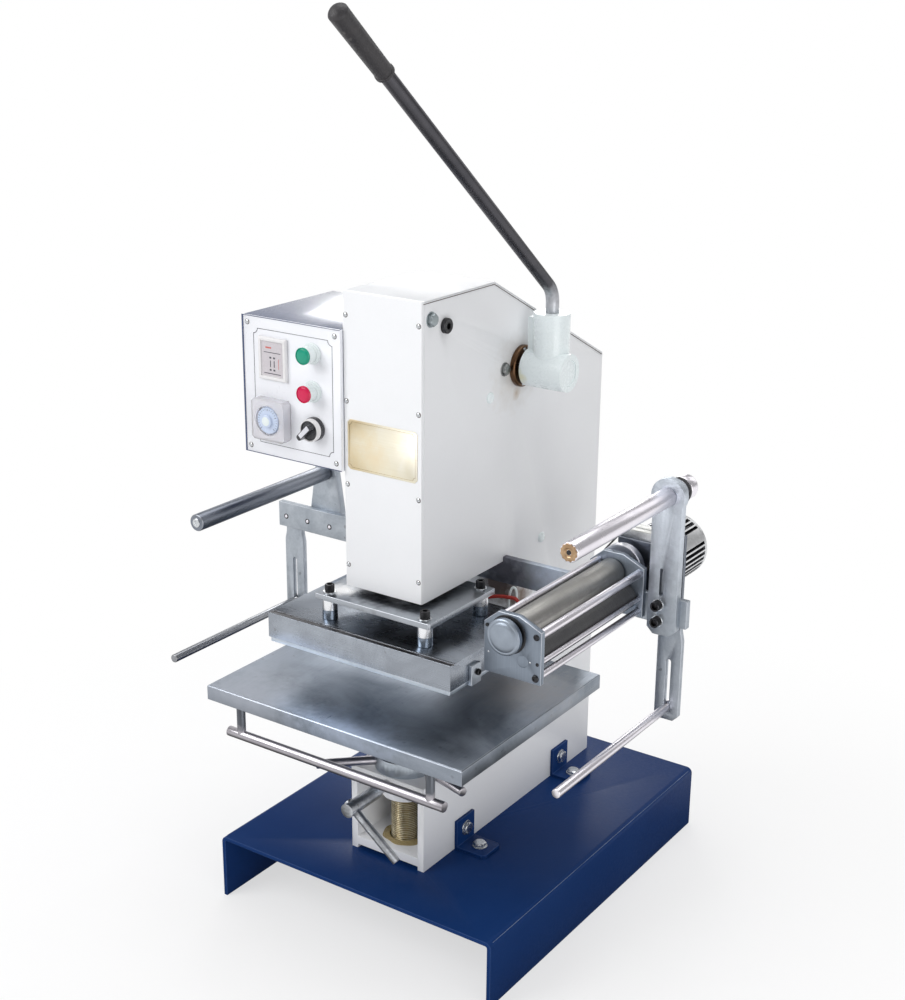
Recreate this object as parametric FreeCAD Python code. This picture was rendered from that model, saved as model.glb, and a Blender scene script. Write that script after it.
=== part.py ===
"""Manual hot-foil stamping press with hand lever, heated plate and motor-driven foil feed.

Millimetres, +Z up, +X to the operator's right, the operator stands on the -Y side.  The sizes below
count y from the front face of the head.  The finished pieces are moved, so that the
origin lies on the floor, midway between the sides and midway between the lever's tip and the base's
back edge.  Every piece is written to its own STEP file.
"""
import FreeCAD, Part
import math
import os

V = FreeCAD.Vector
X_AXIS = V(1, 0, 0)
Y_AXIS = V(0, 1, 0)
Z_AXIS = V(0, 0, 1)

# ---- fits ---------------------------------------------------------------------------------------
RUN = 0.05            # radial clearance of a shaft or pin in its bore
GAP = 0.3             # gap between curved faces that don't touch, and beside moving pieces
EDGE = 1.5            # small chamfers

# ---- base: folded channel, open at the front and the back ---------------------------------------
BASE_WIDTH = 466.0
BASE_FRONT = -83.0
BASE_LENGTH = 580.0
BASE_HEIGHT = 98.0
BASE_SHEET = 6.0
BASE_BEND = 9.0

# ---- frame: two side plates joined by webs ------------------------------------------------------
FRAME_WIDTH = 125.0
SIDE_PLATE = 10.0
FRAME_BACK = 460.0
BLOCK_TOP = 228.0     # top of the lower block
COLUMN_FRONT = 235.0  # throat wall
HEAD_BOTTOM = 503.0
HEAD_TOP = 903.0
RIDGE_Y = 163.0       # where the level top starts to slope down
SLOPE_END = 751.0     # top of the side plates at the back
THROAT_RADIUS = 22.0
WEB = 10.0
FLOOR_RAISE = 6.0
FLOOR_THICKNESS = 13.0
FLOOR_PLAY = 2.0      # round the height screw where it passes the floor and the base
NUT_WEB = 23.0        # plate that carries the capstan nut
NUT_BOSS_R = 34.0
NUT_BOSS_DEPTH = 18.0
PRESS_Y = 50.0        # axis of the height screw and the ram
GUIDE_BOTTOM = 515.0
GUIDE_HEIGHT = 60.0
GUIDE_DEPTH = 84.0

# ---- covers -------------------------------------------------------------------------------------
FRONT_COVER = 6.0
TOP_COVER = 2.0
NAMEPLATE_WIDTH = 112.0
NAMEPLATE_HEIGHT = 68.0
NAMEPLATE_LOW = 669.0
NAMEPLATE_T = 0.8
NAMEPLATE_CORNER = 4.0
COVER_EDGE = 1.0

HEAD_BOLTS = (        # ((y, z), across flats, height) in the head's right side
    ((19.0, 880.0), 16.0, 7.0),
    ((191.0, 781.5), 15.0, 6.0),
)

# ---- foot brackets ------------------------------------------------------------------------------
BRACKET_WIDTH = 44.0
BRACKET_LEG = 45.0
BRACKET_FOOT = 51.0
BRACKET_T = 5.0
BRACKET_Y = (104.0, 367.0)
BRACKET_BOLT_Z = 26.5
BRACKET_BOLT_X = 29.0
FOOT_BOLT_AF = 17.0
FOOT_BOLT_HEAD = 6.4

# ---- work table and height screw ----------------------------------------------------------------
TABLE_WIDTH = 422.0
TABLE_DEPTH = 344.0
TABLE_T = 21.5
TABLE_TOP = 360.0
SCREW_R = 20.5
SCREW_FOOT = 99.0     # lower end of the height screw
SCREW_FLANGE_R = 48.0
SCREW_FLANGE = 12.0
SPIGOT = 9.0          # how far the screw enters the table
CAPSTAN_R = 43.0
CAPSTAN_T = 22.0
CAPSTAN_BAR_R = 6.5
CAPSTAN_BAR_TIP = 126.0
CAPSTAN_BAR_ANGLE = -15.7
CAPSTAN_BARS = 3
CAPSTAN_BAR_START = 5.0     # outside the height screw
RAIL_R = 7.0
RAIL_HALF = 180.0
RAIL_Z = 296.0
RAIL_SETBACK = 8.5    # behind the table's front edge
POST_R = 6.0
POST_X = 158.0

# ---- lock screw of the table --------------------------------------------------------------------
LOCK_Z = 216.5
LOCK_SHANK_R = 7.0
LOCK_BODY_R = 10.0
LOCK_BODY_START = 20.0     # in front of the head's front plane
LOCK_BODY_END = 84.0
TOMMY_R = 5.8
TOMMY_BACK = 12.0          # behind the lock screw's front end
TOMMY_SHORT = 11.0
TOMMY_LONG = 94.0
TOMMY_ANGLE = -38.0

# ---- ram, heating block and die plate -----------------------------------------------------------
RAM_R = 30.0
RAM_SHAFT_TOP = 612.0
RAM_HEAD_T = 10.0
RAM_PLATE_X = 95.0
RAM_PLATE_Y = 78.0
RAM_PLATE_T = 8.0
RAM_PLATE_EDGE = 2.0
STANDOFF_R = 10.5
STANDOFF_X = 79.0
STANDOFF_Y = 65.0
STANDOFF_H = 29.0
HEAT_WIDTH = 303.0
HEAT_DEPTH = 204.0
HEAT_T = 36.0
HEAT_TOP = 456.0
HEAT_X = -8.0         # the block's middle lies left of the press axis
HEAT_FRONT = -50.0
HEAT_GROOVE = 6.0     # behind the block's front face
HEAT_GROOVE_W = 3.0
HEAT_GROOVE_DEPTH = 1.5
DIE_T = 7.0
DIE_INSET = 2.0
LATCH_W = 22.0
LATCH_T = 5.0
LATCH_FRONT = 42.0    # behind the heating block's front face
LATCH_HIGH = 15.0     # below the heating block's top
RAM_SCREW_HEAD_R = 6.6
RAM_SCREW_HEAD = 12.0

# ---- cross bar and its arms ---------------------------------------------------------------------
BAR_Y = 196.5
BAR_T = 10.0
BAR_LOW = 471.0
BAR_HEIGHT = 39.0
BAR_HALF = 349.0
BAR_SEAT_INSET = 4.0   # the frame's seat behind the bar is this much lower at top and bottom
LEFT_ARM_X = -264.0
LEFT_ARM_FOOT_W = 58.0
LEFT_ARM_HEEL = 9.0   # the foot is wider behind the bar
LEFT_ARM_R = 20.0
LEFT_ARM_LOW = 473.0
UNWIND_Z = 570.0
UNWIND_R = 12.0
UNWIND_JOURNAL_R = 7.0
UNWIND_COLLAR = 8.0
UNWIND_COLLAR_R = 14.0
UNWIND_FRONT = -73.0
ARM_T = 12.0
RIGHT_ARM_X = 318.5
RIGHT_ARM_W = 42.0
RIGHT_ARM_LOW = 460.0
ARM_TOE = 9.0
REWIND_Z = 653.5
REWIND_R = 12.5
REWIND_JOURNAL_R = 10.0
REWIND_CAP_R = 16.5
REWIND_CAP = 18.0
REWIND_BOSS_R = 17.0   # of the bearing boss behind the right arm
REWIND_FRONT = -64.0
REWIND_HEAD_R = 24.0
ARM_SLOT_W = 6.0
ARM_SLOT_LOW = 515.0
ARM_SLOT_HIGH = 554.0
ARM_SLOT_INSET = 2.5   # the slot lies left of the arm's middle
ARM_SCREW_HEAD_R = 8.0
ARM_SCREW_HEAD = 10.0
ARM_SCREW_INSET = 6.0  # left of the arm's middle
ARM_SCREW_SPREAD = 11.5
DROP_T = 8.0
DROP_W = 36.0
DROP_LOW = 329.0
DROP_TOE = 8.0
DROP_NECK = 3.0       # how much narrower each side is behind the bar
DROP_NECK_START = 24.0     # below the bar
DROP_NECK_END = 10.0
DROP_SLOT_W = 7.0
DROP_SLOT_LOW = 339.0
DROP_SLOT_HIGH = 418.0
DROP_TOP = 506.0
LEFT_DROP_X = -328.0
RIGHT_DROP_X = 322.0
GUIDE_ROD_R = 6.0
GUIDE_ROD_Z = 347.0
LEFT_GUIDE_FRONT = -66.0
RIGHT_GUIDE_FRONT = -82.0
GUIDE_STUD_R = 3.2
GUIDE_NUT_AF = 12.0
GUIDE_NUT = 5.0

# ---- foil feed unit -----------------------------------------------------------------------------
FEED_LEFT = 206.0
FEED_RIGHT = 288.0
FEED_LOW = 476.0
FEED_HIGH = 559.0
FEED_SHOULDER = 545.0
FEED_RIGHT_CUT = 32.0
FEED_LEFT_CUT = 20.0
FEED_LEFT_DROP = 3.0
FEED_PLATE_T = 8.0
FEED_FRONT = -69.0
TIE_RODS = (          # x from the plate's left side, z from its lower side, radius
    (14.0, 70.0, 4.0),
    (75.0, 62.0, 5.5),
    (77.0, 27.0, 3.0),
    (75.0, 8.0, 4.5),
)
DRIVE_X = 241.0
DRIVE_Z = 532.0
DRIVE_R = 19.0
NIP_X = 262.0
NIP_Z = 502.0
NIP_R = 17.3
ROLLER_SHAFT_R = 6.0
ROLLER_PLAY = 1.0     # between a roller's end and its plate
KNOB_R = 23.5
KNOB_T = 14.0
KNOB_EDGE = 3.0
KNOB_GRIP = 8.0       # how far the shaft enters the knob
DRIVE_ENTRY = 12.0    # how far the shaft enters the gearbox
PULLEY_T = 12.0
PULLEY_Y = 210.0
DRIVE_PULLEY_R = 31.0
REWIND_PULLEY_R = 15.5
BELT_T = 2.0
BELT_INSET = 2.0      # the belt is narrower than the pulleys
MOTOR_PLATE_Y = 228.0
MOTOR_PLATE_T = 6.0
MOTOR_PLATE_RIGHT = 326.0
MOTOR_PLATE_TOP = 588.0
MOTOR_PLATE_STEP_X = 306.0
MOTOR_PLATE_STEP = 21.0    # how much lower the plate is left of its step
MOTOR_PLATE_BORE = 4.0     # wider than the roller shaft, each side
MOTOR_LIP = 22.0
MOTOR_LIP_T = 3.0
MOTOR_GUSSET_T = 4.0
MOTOR_FOOT_PLAY = 3.0      # between the foot and the right drop arm
MOTOR_X = 268.0
MOTOR_Z = 535.0
MOTOR_R = 44.0
GEARBOX_SIDE = 84.0
GEARBOX_T = 30.0
GEARBOX_EDGE = 9.0
MOTOR_FIN_LENGTH = 58.0
MOTOR_FINS = 36
MOTOR_FIN_DEPTH = 5.0
MOTOR_FIN = (0.10, 0.42, 0.52)     # where a fin's flank, tip and root end, in shares of the pitch
MOTOR_PAD_FINS = (2, 3, 4)         # fins that a flat pad for the wires' cover fills
END_BELL = 12.0
END_BELL_EDGE = 6.0

# ---- control box --------------------------------------------------------------------------------
BOX_WIDTH = 167.0
BOX_HEIGHT = 190.0
BOX_DEPTH = 190.0
BOX_LOW = 664.0
BOX_SHEET = 2.0
PANEL_T = 2.5
TIMER_X = -175.0
TIMER_RISE = 82.0     # above the thermostat
TIMER_W = 48.0
TIMER_H = 58.0
TIMER_T = 5.0
TIMER_RIM = 5.0
TIMER_RECESS = 2.0
LAMP_X = -109.0
GREEN_Z = 817.0
RED_Z = 766.0
LAMP_BEZEL_R = 14.5
LAMP_BEZEL_T = 6.0
LAMP_LENS_R = 11.5
LAMP_LENS_T = 16.0
LAMP_LENS_EDGE = 3.0
SELECTOR_X = -106.0
SELECTOR_Z = 716.0
SELECTOR_R = 16.0
SELECTOR_BASE_T = 7.0
SELECTOR_T = 18.0
SELECTOR_DISC_R = 13.0
SELECTOR_DISC_T = 6.0
SELECTOR_GRIP = 15.0   # from the middle to the bar grip's pointing end
SELECTOR_GRIP_W = 8.0
SELECTOR_TAIL = 13.0
SELECTOR_EDGE = 2.0
SELECTOR_TURN = -45.0
THERMO_X = -176.0
THERMO_Z = 718.0
THERMO_SIDE = 56.0
THERMO_T = 16.0
THERMO_WALL = 2.0
THERMO_CORNER = 4.0
THERMO_DIAL_R = 19.0
THERMO_DIAL_PLAY = 1.5
THERMO_KNOB = 4.0
THERMO_KNOB_R = 9.0

# ---- lever, crankshaft and toggle ---------------------------------------------------------------
SHAFT_Y = 232.0
SHAFT_Z = 779.0
SHAFT_R = 15.0
SHAFT_COLLAR = 8.0
SHAFT_COLLAR_R = 23.0
BUSH_R = 26.0
BUSH_INNER = 6.0      # how far a bush stands into the head
BUSH_RECESS = 4.5     # how far it lies inside the side plate's outer face
BUSH_FLANGE_R = 29.0  # black flange of the right bush, on the side plate
BUSH_FLANGE = 8.0
BUSH_FLANGE_EDGE = 3.0
HUB_R = 26.0
HUB_END = 139.5
HUB_GAP = 13.0
HUB_END_PLATE = 3.0
HUB_RECESS_R = 18.0
HUB_RECESS = 1.5
SOCKET_X = 106.5
SOCKET_R = 25.0
SOCKET_TOP = 857.0
SOCKET_BACK = 6.0     # the socket's axis lies behind the shaft's
EAR_HALF = 10.0
EAR_DROP = 8.0        # below the socket's top
SOCKET_DEPTH = 46.0
LEVER_R = 9.0
LEVER_BEND_Z = 886.0
LEVER_BEND_R = 34.0
LEVER_RISE = 39.0     # degrees above the horizontal, towards the operator
LEVER_REACH = 587.0   # from the bend to the tip
GRIP_LENGTH = 112.0
GRIP_R = 12.0
GRIP_SWELL = 1.0
GRIP_FLANGE = 4.0
GRIP_CAP = 7.0         # height of the domed tip
GRIP_END = 14.0       # closed length at the grip's tip
CRANK_R = 30.3
CRANK_ANGLE = 92.2
CRANK_PIN_R = 8.0
CRANK_WEB = 12.0
CRANK_WEB_R = 18.0
LINK_T = 24.0
LINK_END_R = 21.0
TOP_PIN_Z = 867.0
TOP_PIN_R = 9.0
PIN_PLUG = 6.0
PIN_PLUG_R = 10.0
TOP_HUB_R = 17.0
KNEE_PIN_R = 8.0
CHEEK_T = 12.0
CHEEK_END_R = 17.0
SPACER_R = 7.0
TOGGLE_LENGTH = 136.2
RAM_PIN_Z = 645.0
CRANK_PLAY = 5.2      # clearance of the crank pin in the connecting link
RAM_PLAY = 2.8        # clearance of the ram's pin in the lower link
SPRING_Y = 19.0
SPRING_TOP = 860.0
SPRING_R = 8.0
SPRING_SHELF = 12.0

# ---- values that follow from those above --------------------------------------------------------
FRAME_HALF = FRAME_WIDTH / 2
INNER_HALF = FRAME_HALF - SIDE_PLATE
BASE_BACK = BASE_FRONT + BASE_LENGTH
DECK = BASE_HEIGHT - BASE_SHEET
TABLE_LOW = TABLE_TOP - TABLE_T
TABLE_FRONT = PRESS_Y - TABLE_DEPTH / 2
STANDOFF_TOP = HEAT_TOP + STANDOFF_H
RAM_PLATE_TOP = STANDOFF_TOP + RAM_PLATE_T
HEAT_LOW = HEAT_TOP - HEAT_T
HEAT_BACK = HEAT_FRONT + HEAT_DEPTH
BAR_TOP = BAR_LOW + BAR_HEIGHT
BAR_MID = BAR_LOW + BAR_HEIGHT / 2
BAR_BACK = BAR_Y + BAR_T
RIGHT_ARM_FRONT = BAR_Y - ARM_T
FEED_BACK = BAR_Y - FEED_PLATE_T
FEED_INNER = FEED_FRONT + FEED_PLATE_T
BOX_RIGHT = -FRAME_HALF
BOX_LEFT = BOX_RIGHT - BOX_WIDTH
PANEL_BACK = -PANEL_T
PANEL_FRONT = PANEL_BACK - PANEL_T
TIMER_Z = THERMO_Z + TIMER_RISE
TOGGLE_ANGLE = math.degrees(math.acos((TOP_PIN_Z - RAM_PIN_Z) / 2 / TOGGLE_LENGTH))
SOCKET_Y = SHAFT_Y + SOCKET_BACK
TOP_PIVOT = (PRESS_Y, TOP_PIN_Z)
RAM_PIVOT = (PRESS_Y, RAM_PIN_Z)
KNEE = (PRESS_Y + TOGGLE_LENGTH * math.sin(math.radians(TOGGLE_ANGLE)),
        (TOP_PIN_Z + RAM_PIN_Z) / 2)
CRANK = (SHAFT_Y + CRANK_R * math.cos(math.radians(CRANK_ANGLE)),
         SHAFT_Z + CRANK_R * math.sin(math.radians(CRANK_ANGLE)))


# ---- simple solids ------------------------------------------------------------------------------
def box(x0, x1, y0, y1, z0, z1):
    """Box between two corners."""
    return Part.makeBox(x1 - x0, y1 - y0, z1 - z0, V(x0, y0, z0))


def rod_x(x0, x1, y, z, r):
    """Cylinder along X."""
    return Part.makeCylinder(r, x1 - x0, V(x0, y, z), X_AXIS)


def rod_y(y0, y1, x, z, r):
    """Cylinder along Y."""
    return Part.makeCylinder(r, y1 - y0, V(x, y0, z), Y_AXIS)


def rod_z(z0, z1, x, y, r):
    """Cylinder along Z."""
    return Part.makeCylinder(r, z1 - z0, V(x, y, z0), Z_AXIS)


def prism(points, along):
    """Closed outline of points, extruded by a vector."""
    wire = Part.makePolygon(list(points) + [points[0]])
    return Part.Face(wire).extrude(along)


def prism_x(outline, x0, x1):
    """Outline of (y, z) points, extruded along X."""
    return prism([V(x0, y, z) for y, z in outline], V(x1 - x0, 0, 0))


def prism_y(outline, y0, y1):
    """Outline of (x, z) points, extruded along Y."""
    return prism([V(x, y0, z) for x, z in outline], V(0, y1 - y0, 0))


def join(shapes):
    """One solid out of several that touch or overlap."""
    first = shapes[0]
    return first.fuse(shapes[1:]).removeSplitter() if len(shapes) > 1 else first


def slot_y(x, z0, z1, width, y0, y1):
    """Upright slot with round ends, cut along Y."""
    r = width / 2
    middle = box(x - r, x + r, y0, y1, z0 + r, z1 - r)
    return join([middle, rod_y(y0, y1, x, z0 + r, r), rod_y(y0, y1, x, z1 - r, r)])


def rounded(shape, radius, pick):
    """Shape with a fillet on the edges that pick(edge) chooses."""
    return shape.makeFillet(radius, [edge for edge in shape.Edges if pick(edge)])


def bevelled(shape, size, pick):
    """Shape with a chamfer on the edges that pick(edge) chooses."""
    return shape.makeChamfer(size, [edge for edge in shape.Edges if pick(edge)])


def runs_along(edge, axis):
    """Is this a straight edge along the axis?"""
    if edge.Curve.TypeId != "Part::GeomLine":
        return False
    direction = edge.tangentAt(edge.FirstParameter)
    return abs(direction.dot(axis)) > 0.999


def circle_at(edge, radius, axis, place):
    """Is this a circle of the radius, at the place along the axis?"""
    if edge.Curve.TypeId != "Part::GeomCircle" or abs(edge.Curve.Radius - radius) > 1e-6:
        return False
    return abs(edge.Curve.Center.dot(axis) - place) < 1e-6


def hexagon_prism(across_flats, height, centre, axis):
    """Hexagonal prism that starts at centre and rises along axis."""
    corner_r = across_flats / math.sqrt(3)
    turn = FreeCAD.Rotation(Z_AXIS, axis)
    corners = []
    for index in range(6):
        angle = math.radians(60 * index)
        offset = V(corner_r * math.cos(angle), corner_r * math.sin(angle), 0)
        corners.append(centre + turn.multVec(offset))
    return prism(corners, axis * height)


def group(solids):
    """Several separate solids in one node."""
    return Part.makeCompound(solids)


# ---- base ---------------------------------------------------------------------------------------
def bracket_sides():
    """(side, y) of the four foot brackets; side is +1 on the right."""
    return [(side, y) for side in (-1, 1) for y in BRACKET_Y]


def make_base():
    """Folded channel with the opening for the height screw's lower end."""
    half = BASE_WIDTH / 2
    outer = box(-half, half, BASE_FRONT, BASE_BACK, 0, BASE_HEIGHT)
    outer = rounded(outer, BASE_BEND, lambda e: runs_along(e, Y_AXIS) and e.CenterOfMass.z > 1)
    inner = box(-half + BASE_SHEET, half - BASE_SHEET, BASE_FRONT, BASE_BACK, 0, DECK)
    inner = rounded(inner, BASE_BEND - BASE_SHEET,
                    lambda e: runs_along(e, Y_AXIS) and e.CenterOfMass.z > 1)
    return outer.cut([inner, rod_z(DECK, BASE_HEIGHT, 0, PRESS_Y, SCREW_R + FLOOR_PLAY)])


def make_brackets():
    """Four angle brackets that hold the frame down on the base."""
    solids = []
    for side, y in bracket_sides():
        y0 = y - BRACKET_WIDTH / 2
        y1 = y + BRACKET_WIDTH / 2
        wall = FRAME_HALF
        leg = box(wall, wall + BRACKET_T, y0, y1, BASE_HEIGHT, BASE_HEIGHT + BRACKET_LEG)
        foot = box(wall, wall + BRACKET_FOOT, y0, y1, BASE_HEIGHT, BASE_HEIGHT + BRACKET_T)
        angle = bevelled(join([leg, foot]), BRACKET_T, lambda e: runs_along(e, Z_AXIS)
                         and abs(e.CenterOfMass.x - wall - BRACKET_FOOT) < 0.1)
        solids.append(angle if side > 0 else angle.mirror(V(0, 0, 0), X_AXIS))
    return group(solids)


def make_bolts():
    """Hexagon bolt heads of the foot brackets, and the heads in the head's right side."""
    solids = []
    for side, y in bracket_sides():
        out = V(side, 0, 0)
        face = V(side * (FRAME_HALF + BRACKET_T), y, BASE_HEIGHT + BRACKET_BOLT_Z)
        solids.append(hexagon_prism(FOOT_BOLT_AF, FOOT_BOLT_HEAD, face, out))
        face = V(side * (FRAME_HALF + BRACKET_BOLT_X), y, BASE_HEIGHT + BRACKET_T)
        solids.append(hexagon_prism(FOOT_BOLT_AF, FOOT_BOLT_HEAD, face, Z_AXIS))
    for (y, z), across_flats, height in HEAD_BOLTS:
        solids.append(hexagon_prism(across_flats, height, V(FRAME_HALF, y, z), X_AXIS))
    return group(solids)


# ---- frame --------------------------------------------------------------------------------------
def side_outline():
    """(y, z) outline of a side plate: lower block, column and head round the throat."""
    return [
        (FRONT_COVER, BASE_HEIGHT), (FRAME_BACK, BASE_HEIGHT), (FRAME_BACK, SLOPE_END),
        (RIDGE_Y, HEAD_TOP), (FRONT_COVER, HEAD_TOP), (FRONT_COVER, HEAD_BOTTOM),
        (COLUMN_FRONT, HEAD_BOTTOM), (COLUMN_FRONT, BLOCK_TOP), (FRONT_COVER, BLOCK_TOP),
    ]


def in_throat(edge):
    """Is this one of the two inner corners of the throat?"""
    middle = edge.CenterOfMass
    at_wall = abs(middle.y - COLUMN_FRONT) < 0.1
    return runs_along(edge, X_AXIS) and at_wall and BLOCK_TOP - 1 < middle.z < HEAD_BOTTOM + 1


def make_frame():
    """Both side plates, their webs, the ram guide, the nut boss and the bar's seat, as one weldment."""
    plate = prism_x(side_outline(), INNER_HALF, FRAME_HALF)
    plate = rounded(plate, THROAT_RADIUS, in_throat)
    pieces = [plate, plate.mirror(V(0, 0, 0), X_AXIS)]
    webs = {
        "floor": (FRONT_COVER, FRAME_BACK, BASE_HEIGHT + FLOOR_RAISE,
                  BASE_HEIGHT + FLOOR_RAISE + FLOOR_THICKNESS),
        "nut_plate": (FRONT_COVER, COLUMN_FRONT, BLOCK_TOP - NUT_WEB, BLOCK_TOP),
        "throat_wall": (COLUMN_FRONT, COLUMN_FRONT + WEB, BLOCK_TOP - NUT_WEB,
                        GUIDE_BOTTOM + GUIDE_HEIGHT),
        "back_wall": (FRAME_BACK - WEB, FRAME_BACK, BASE_HEIGHT + FLOOR_RAISE, SLOPE_END),
        "ram_guide": (PRESS_Y - GUIDE_DEPTH / 2, PRESS_Y + GUIDE_DEPTH / 2, GUIDE_BOTTOM,
                      GUIDE_BOTTOM + GUIDE_HEIGHT),
    }
    for y0, y1, z0, z1 in webs.values():
        pieces.append(box(-INNER_HALF, INNER_HALF, y0, y1, z0, z1))
    nut_low = BLOCK_TOP - NUT_WEB
    pieces.append(rod_z(nut_low - NUT_BOSS_DEPTH, nut_low, 0, PRESS_Y, NUT_BOSS_R))
    pieces.append(box(-INNER_HALF, INNER_HALF, BAR_BACK, COLUMN_FRONT, BAR_LOW + BAR_SEAT_INSET,
                      BAR_TOP - BAR_SEAT_INSET))
    pieces.append(box(-INNER_HALF, INNER_HALF, SPRING_Y - SPRING_R, SPRING_Y + SPRING_R,
                      SPRING_TOP, SPRING_TOP + SPRING_SHELF))
    frame = join(pieces)
    cuts = [
        rod_z(nut_low - NUT_BOSS_DEPTH, BLOCK_TOP, 0, PRESS_Y, SCREW_R + RUN),
        rod_z(BASE_HEIGHT, nut_low - NUT_BOSS_DEPTH, 0, PRESS_Y, SCREW_R + FLOOR_PLAY),
        rod_z(GUIDE_BOTTOM, GUIDE_BOTTOM + GUIDE_HEIGHT, 0, PRESS_Y, RAM_R + RUN),
        rod_y(FRONT_COVER, PRESS_Y - SCREW_R, 0, LOCK_Z, LOCK_SHANK_R + RUN),
        rod_x(-FRAME_HALF, FRAME_HALF, SHAFT_Y, SHAFT_Z, BUSH_R + RUN),
        rod_x(-FRAME_HALF, FRAME_HALF, PRESS_Y, TOP_PIN_Z, TOP_PIN_R + RUN),
        box(-FRAME_HALF, FRAME_HALF, BAR_Y, BAR_BACK, BAR_LOW, BAR_TOP),
    ]
    return frame.cut(cuts)


def make_front_cover():
    """Plate that closes the front of the head."""
    cover = box(-FRAME_HALF, FRAME_HALF, 0, FRONT_COVER, HEAD_BOTTOM, HEAD_TOP + TOP_COVER)
    return bevelled(cover, COVER_EDGE, lambda e: runs_along(e, Z_AXIS) and e.CenterOfMass.y < 0.1)


def make_top_cover():
    """Sheet over the level top and the slope of the head."""
    run = FRAME_BACK - RIDGE_Y
    drop = HEAD_TOP - SLOPE_END
    rise = TOP_COVER * math.hypot(run, drop) / run
    ridge_shift = TOP_COVER * (math.hypot(run, drop) - run) / drop
    outline = [
        (FRONT_COVER, HEAD_TOP), (RIDGE_Y, HEAD_TOP), (FRAME_BACK, SLOPE_END),
        (FRAME_BACK, SLOPE_END + rise), (RIDGE_Y + ridge_shift, HEAD_TOP + TOP_COVER),
        (FRONT_COVER, HEAD_TOP + TOP_COVER),
    ]
    return prism_x(outline, -FRAME_HALF, FRAME_HALF)


def make_nameplate():
    """Bare plate on the front cover."""
    half = NAMEPLATE_WIDTH / 2
    plate = box(-half, half, -NAMEPLATE_T, 0, NAMEPLATE_LOW, NAMEPLATE_LOW + NAMEPLATE_HEIGHT)
    return bevelled(plate, NAMEPLATE_CORNER, lambda e: runs_along(e, Y_AXIS))


def make_bushes():
    """Two bearing bushes of the crankshaft, pressed into the side plates, the right one flanged."""
    bore_r = SHAFT_R + RUN
    inner = INNER_HALF - BUSH_INNER
    plain = rod_x(BUSH_RECESS - FRAME_HALF, -inner, SHAFT_Y, SHAFT_Z, BUSH_R)
    outer = FRAME_HALF + BUSH_FLANGE
    flange = rod_x(FRAME_HALF, outer, SHAFT_Y, SHAFT_Z, BUSH_FLANGE_R)
    flange = rounded(flange, BUSH_FLANGE_EDGE, lambda e: circle_at(e, BUSH_FLANGE_R, X_AXIS, outer))
    flanged = join([rod_x(inner, FRAME_HALF, SHAFT_Y, SHAFT_Z, BUSH_R), flange])
    return group([plain.cut(rod_x(-FRAME_HALF, -inner, SHAFT_Y, SHAFT_Z, bore_r)),
                  flanged.cut(rod_x(inner, outer, SHAFT_Y, SHAFT_Z, bore_r))])


# ---- work table ---------------------------------------------------------------------------------
def make_table():
    """Work table with a blind bore for the height screw's spigot."""
    half = TABLE_WIDTH / 2
    table = box(-half, half, TABLE_FRONT, TABLE_FRONT + TABLE_DEPTH, TABLE_LOW, TABLE_TOP)
    table = bevelled(table, EDGE, lambda e: e.CenterOfMass.z > TABLE_TOP - 0.1)
    return table.cut(rod_z(TABLE_LOW, TABLE_LOW + SPIGOT + RUN, 0, PRESS_Y, SCREW_R + RUN))


def make_height_screw():
    """Column with a flange under the table and a spigot into it."""
    screw = rod_z(SCREW_FOOT, TABLE_LOW + SPIGOT, 0, PRESS_Y, SCREW_R)
    flange = rod_z(TABLE_LOW - SCREW_FLANGE, TABLE_LOW, 0, PRESS_Y, SCREW_FLANGE_R)
    return join([screw, flange])


def make_rail():
    """Rail in front of the table, with its two welded posts."""
    y = TABLE_FRONT + RAIL_SETBACK
    rail = rod_x(-RAIL_HALF, RAIL_HALF, y, RAIL_Z, RAIL_R)
    posts = [rod_z(RAIL_Z, TABLE_LOW, side * POST_X, y, POST_R) for side in (-1, 1)]
    return join([rail] + posts)


def make_capstan():
    """Capstan nut that lifts the height screw, with bores for its bars."""
    z0 = BLOCK_TOP
    nut = rod_z(z0, z0 + CAPSTAN_T, 0, PRESS_Y, CAPSTAN_R)
    nut = nut.cut(rod_z(z0, z0 + CAPSTAN_T, 0, PRESS_Y, SCREW_R + RUN))
    for start, along, length in capstan_bar_lines():
        nut = nut.cut(Part.makeCylinder(CAPSTAN_BAR_R + RUN, length, start, along))
    return nut


def capstan_bar_lines():
    """Start, direction and length of each capstan bar."""
    lines = []
    middle = V(0, PRESS_Y, BLOCK_TOP + CAPSTAN_T / 2)
    inner = SCREW_R + CAPSTAN_BAR_START
    for index in range(CAPSTAN_BARS):
        angle = math.radians(CAPSTAN_BAR_ANGLE + index * 360 / CAPSTAN_BARS)
        along = V(math.cos(angle), math.sin(angle), 0)
        lines.append((middle + along * inner, along, CAPSTAN_BAR_TIP - inner))
    return lines


def make_capstan_bars():
    """Round bars screwed into the capstan nut."""
    return group([Part.makeCylinder(CAPSTAN_BAR_R, length, start, along)
                  for start, along, length in capstan_bar_lines()])


def make_lock_screw():
    """Clamping screw whose tip bears on the height screw."""
    body = rod_y(-LOCK_BODY_END, -LOCK_BODY_START, 0, LOCK_Z, LOCK_BODY_R)
    shank = rod_y(-LOCK_BODY_START, PRESS_Y - SCREW_R - GAP, 0, LOCK_Z, LOCK_SHANK_R)
    screw = join([body, shank])
    start, along = tommy_line()
    return screw.cut(Part.makeCylinder(TOMMY_R + RUN, TOMMY_SHORT + TOMMY_LONG, start, along))


def tommy_line():
    """Start and direction of the tommy bar."""
    angle = math.radians(TOMMY_ANGLE)
    along = V(math.cos(angle), 0, math.sin(angle))
    return V(0, TOMMY_BACK - LOCK_BODY_END, LOCK_Z) - along * TOMMY_SHORT, along


def make_tommy_bar():
    """Bar through the lock screw."""
    start, along = tommy_line()
    return Part.makeCylinder(TOMMY_R, TOMMY_SHORT + TOMMY_LONG, start, along)


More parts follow.
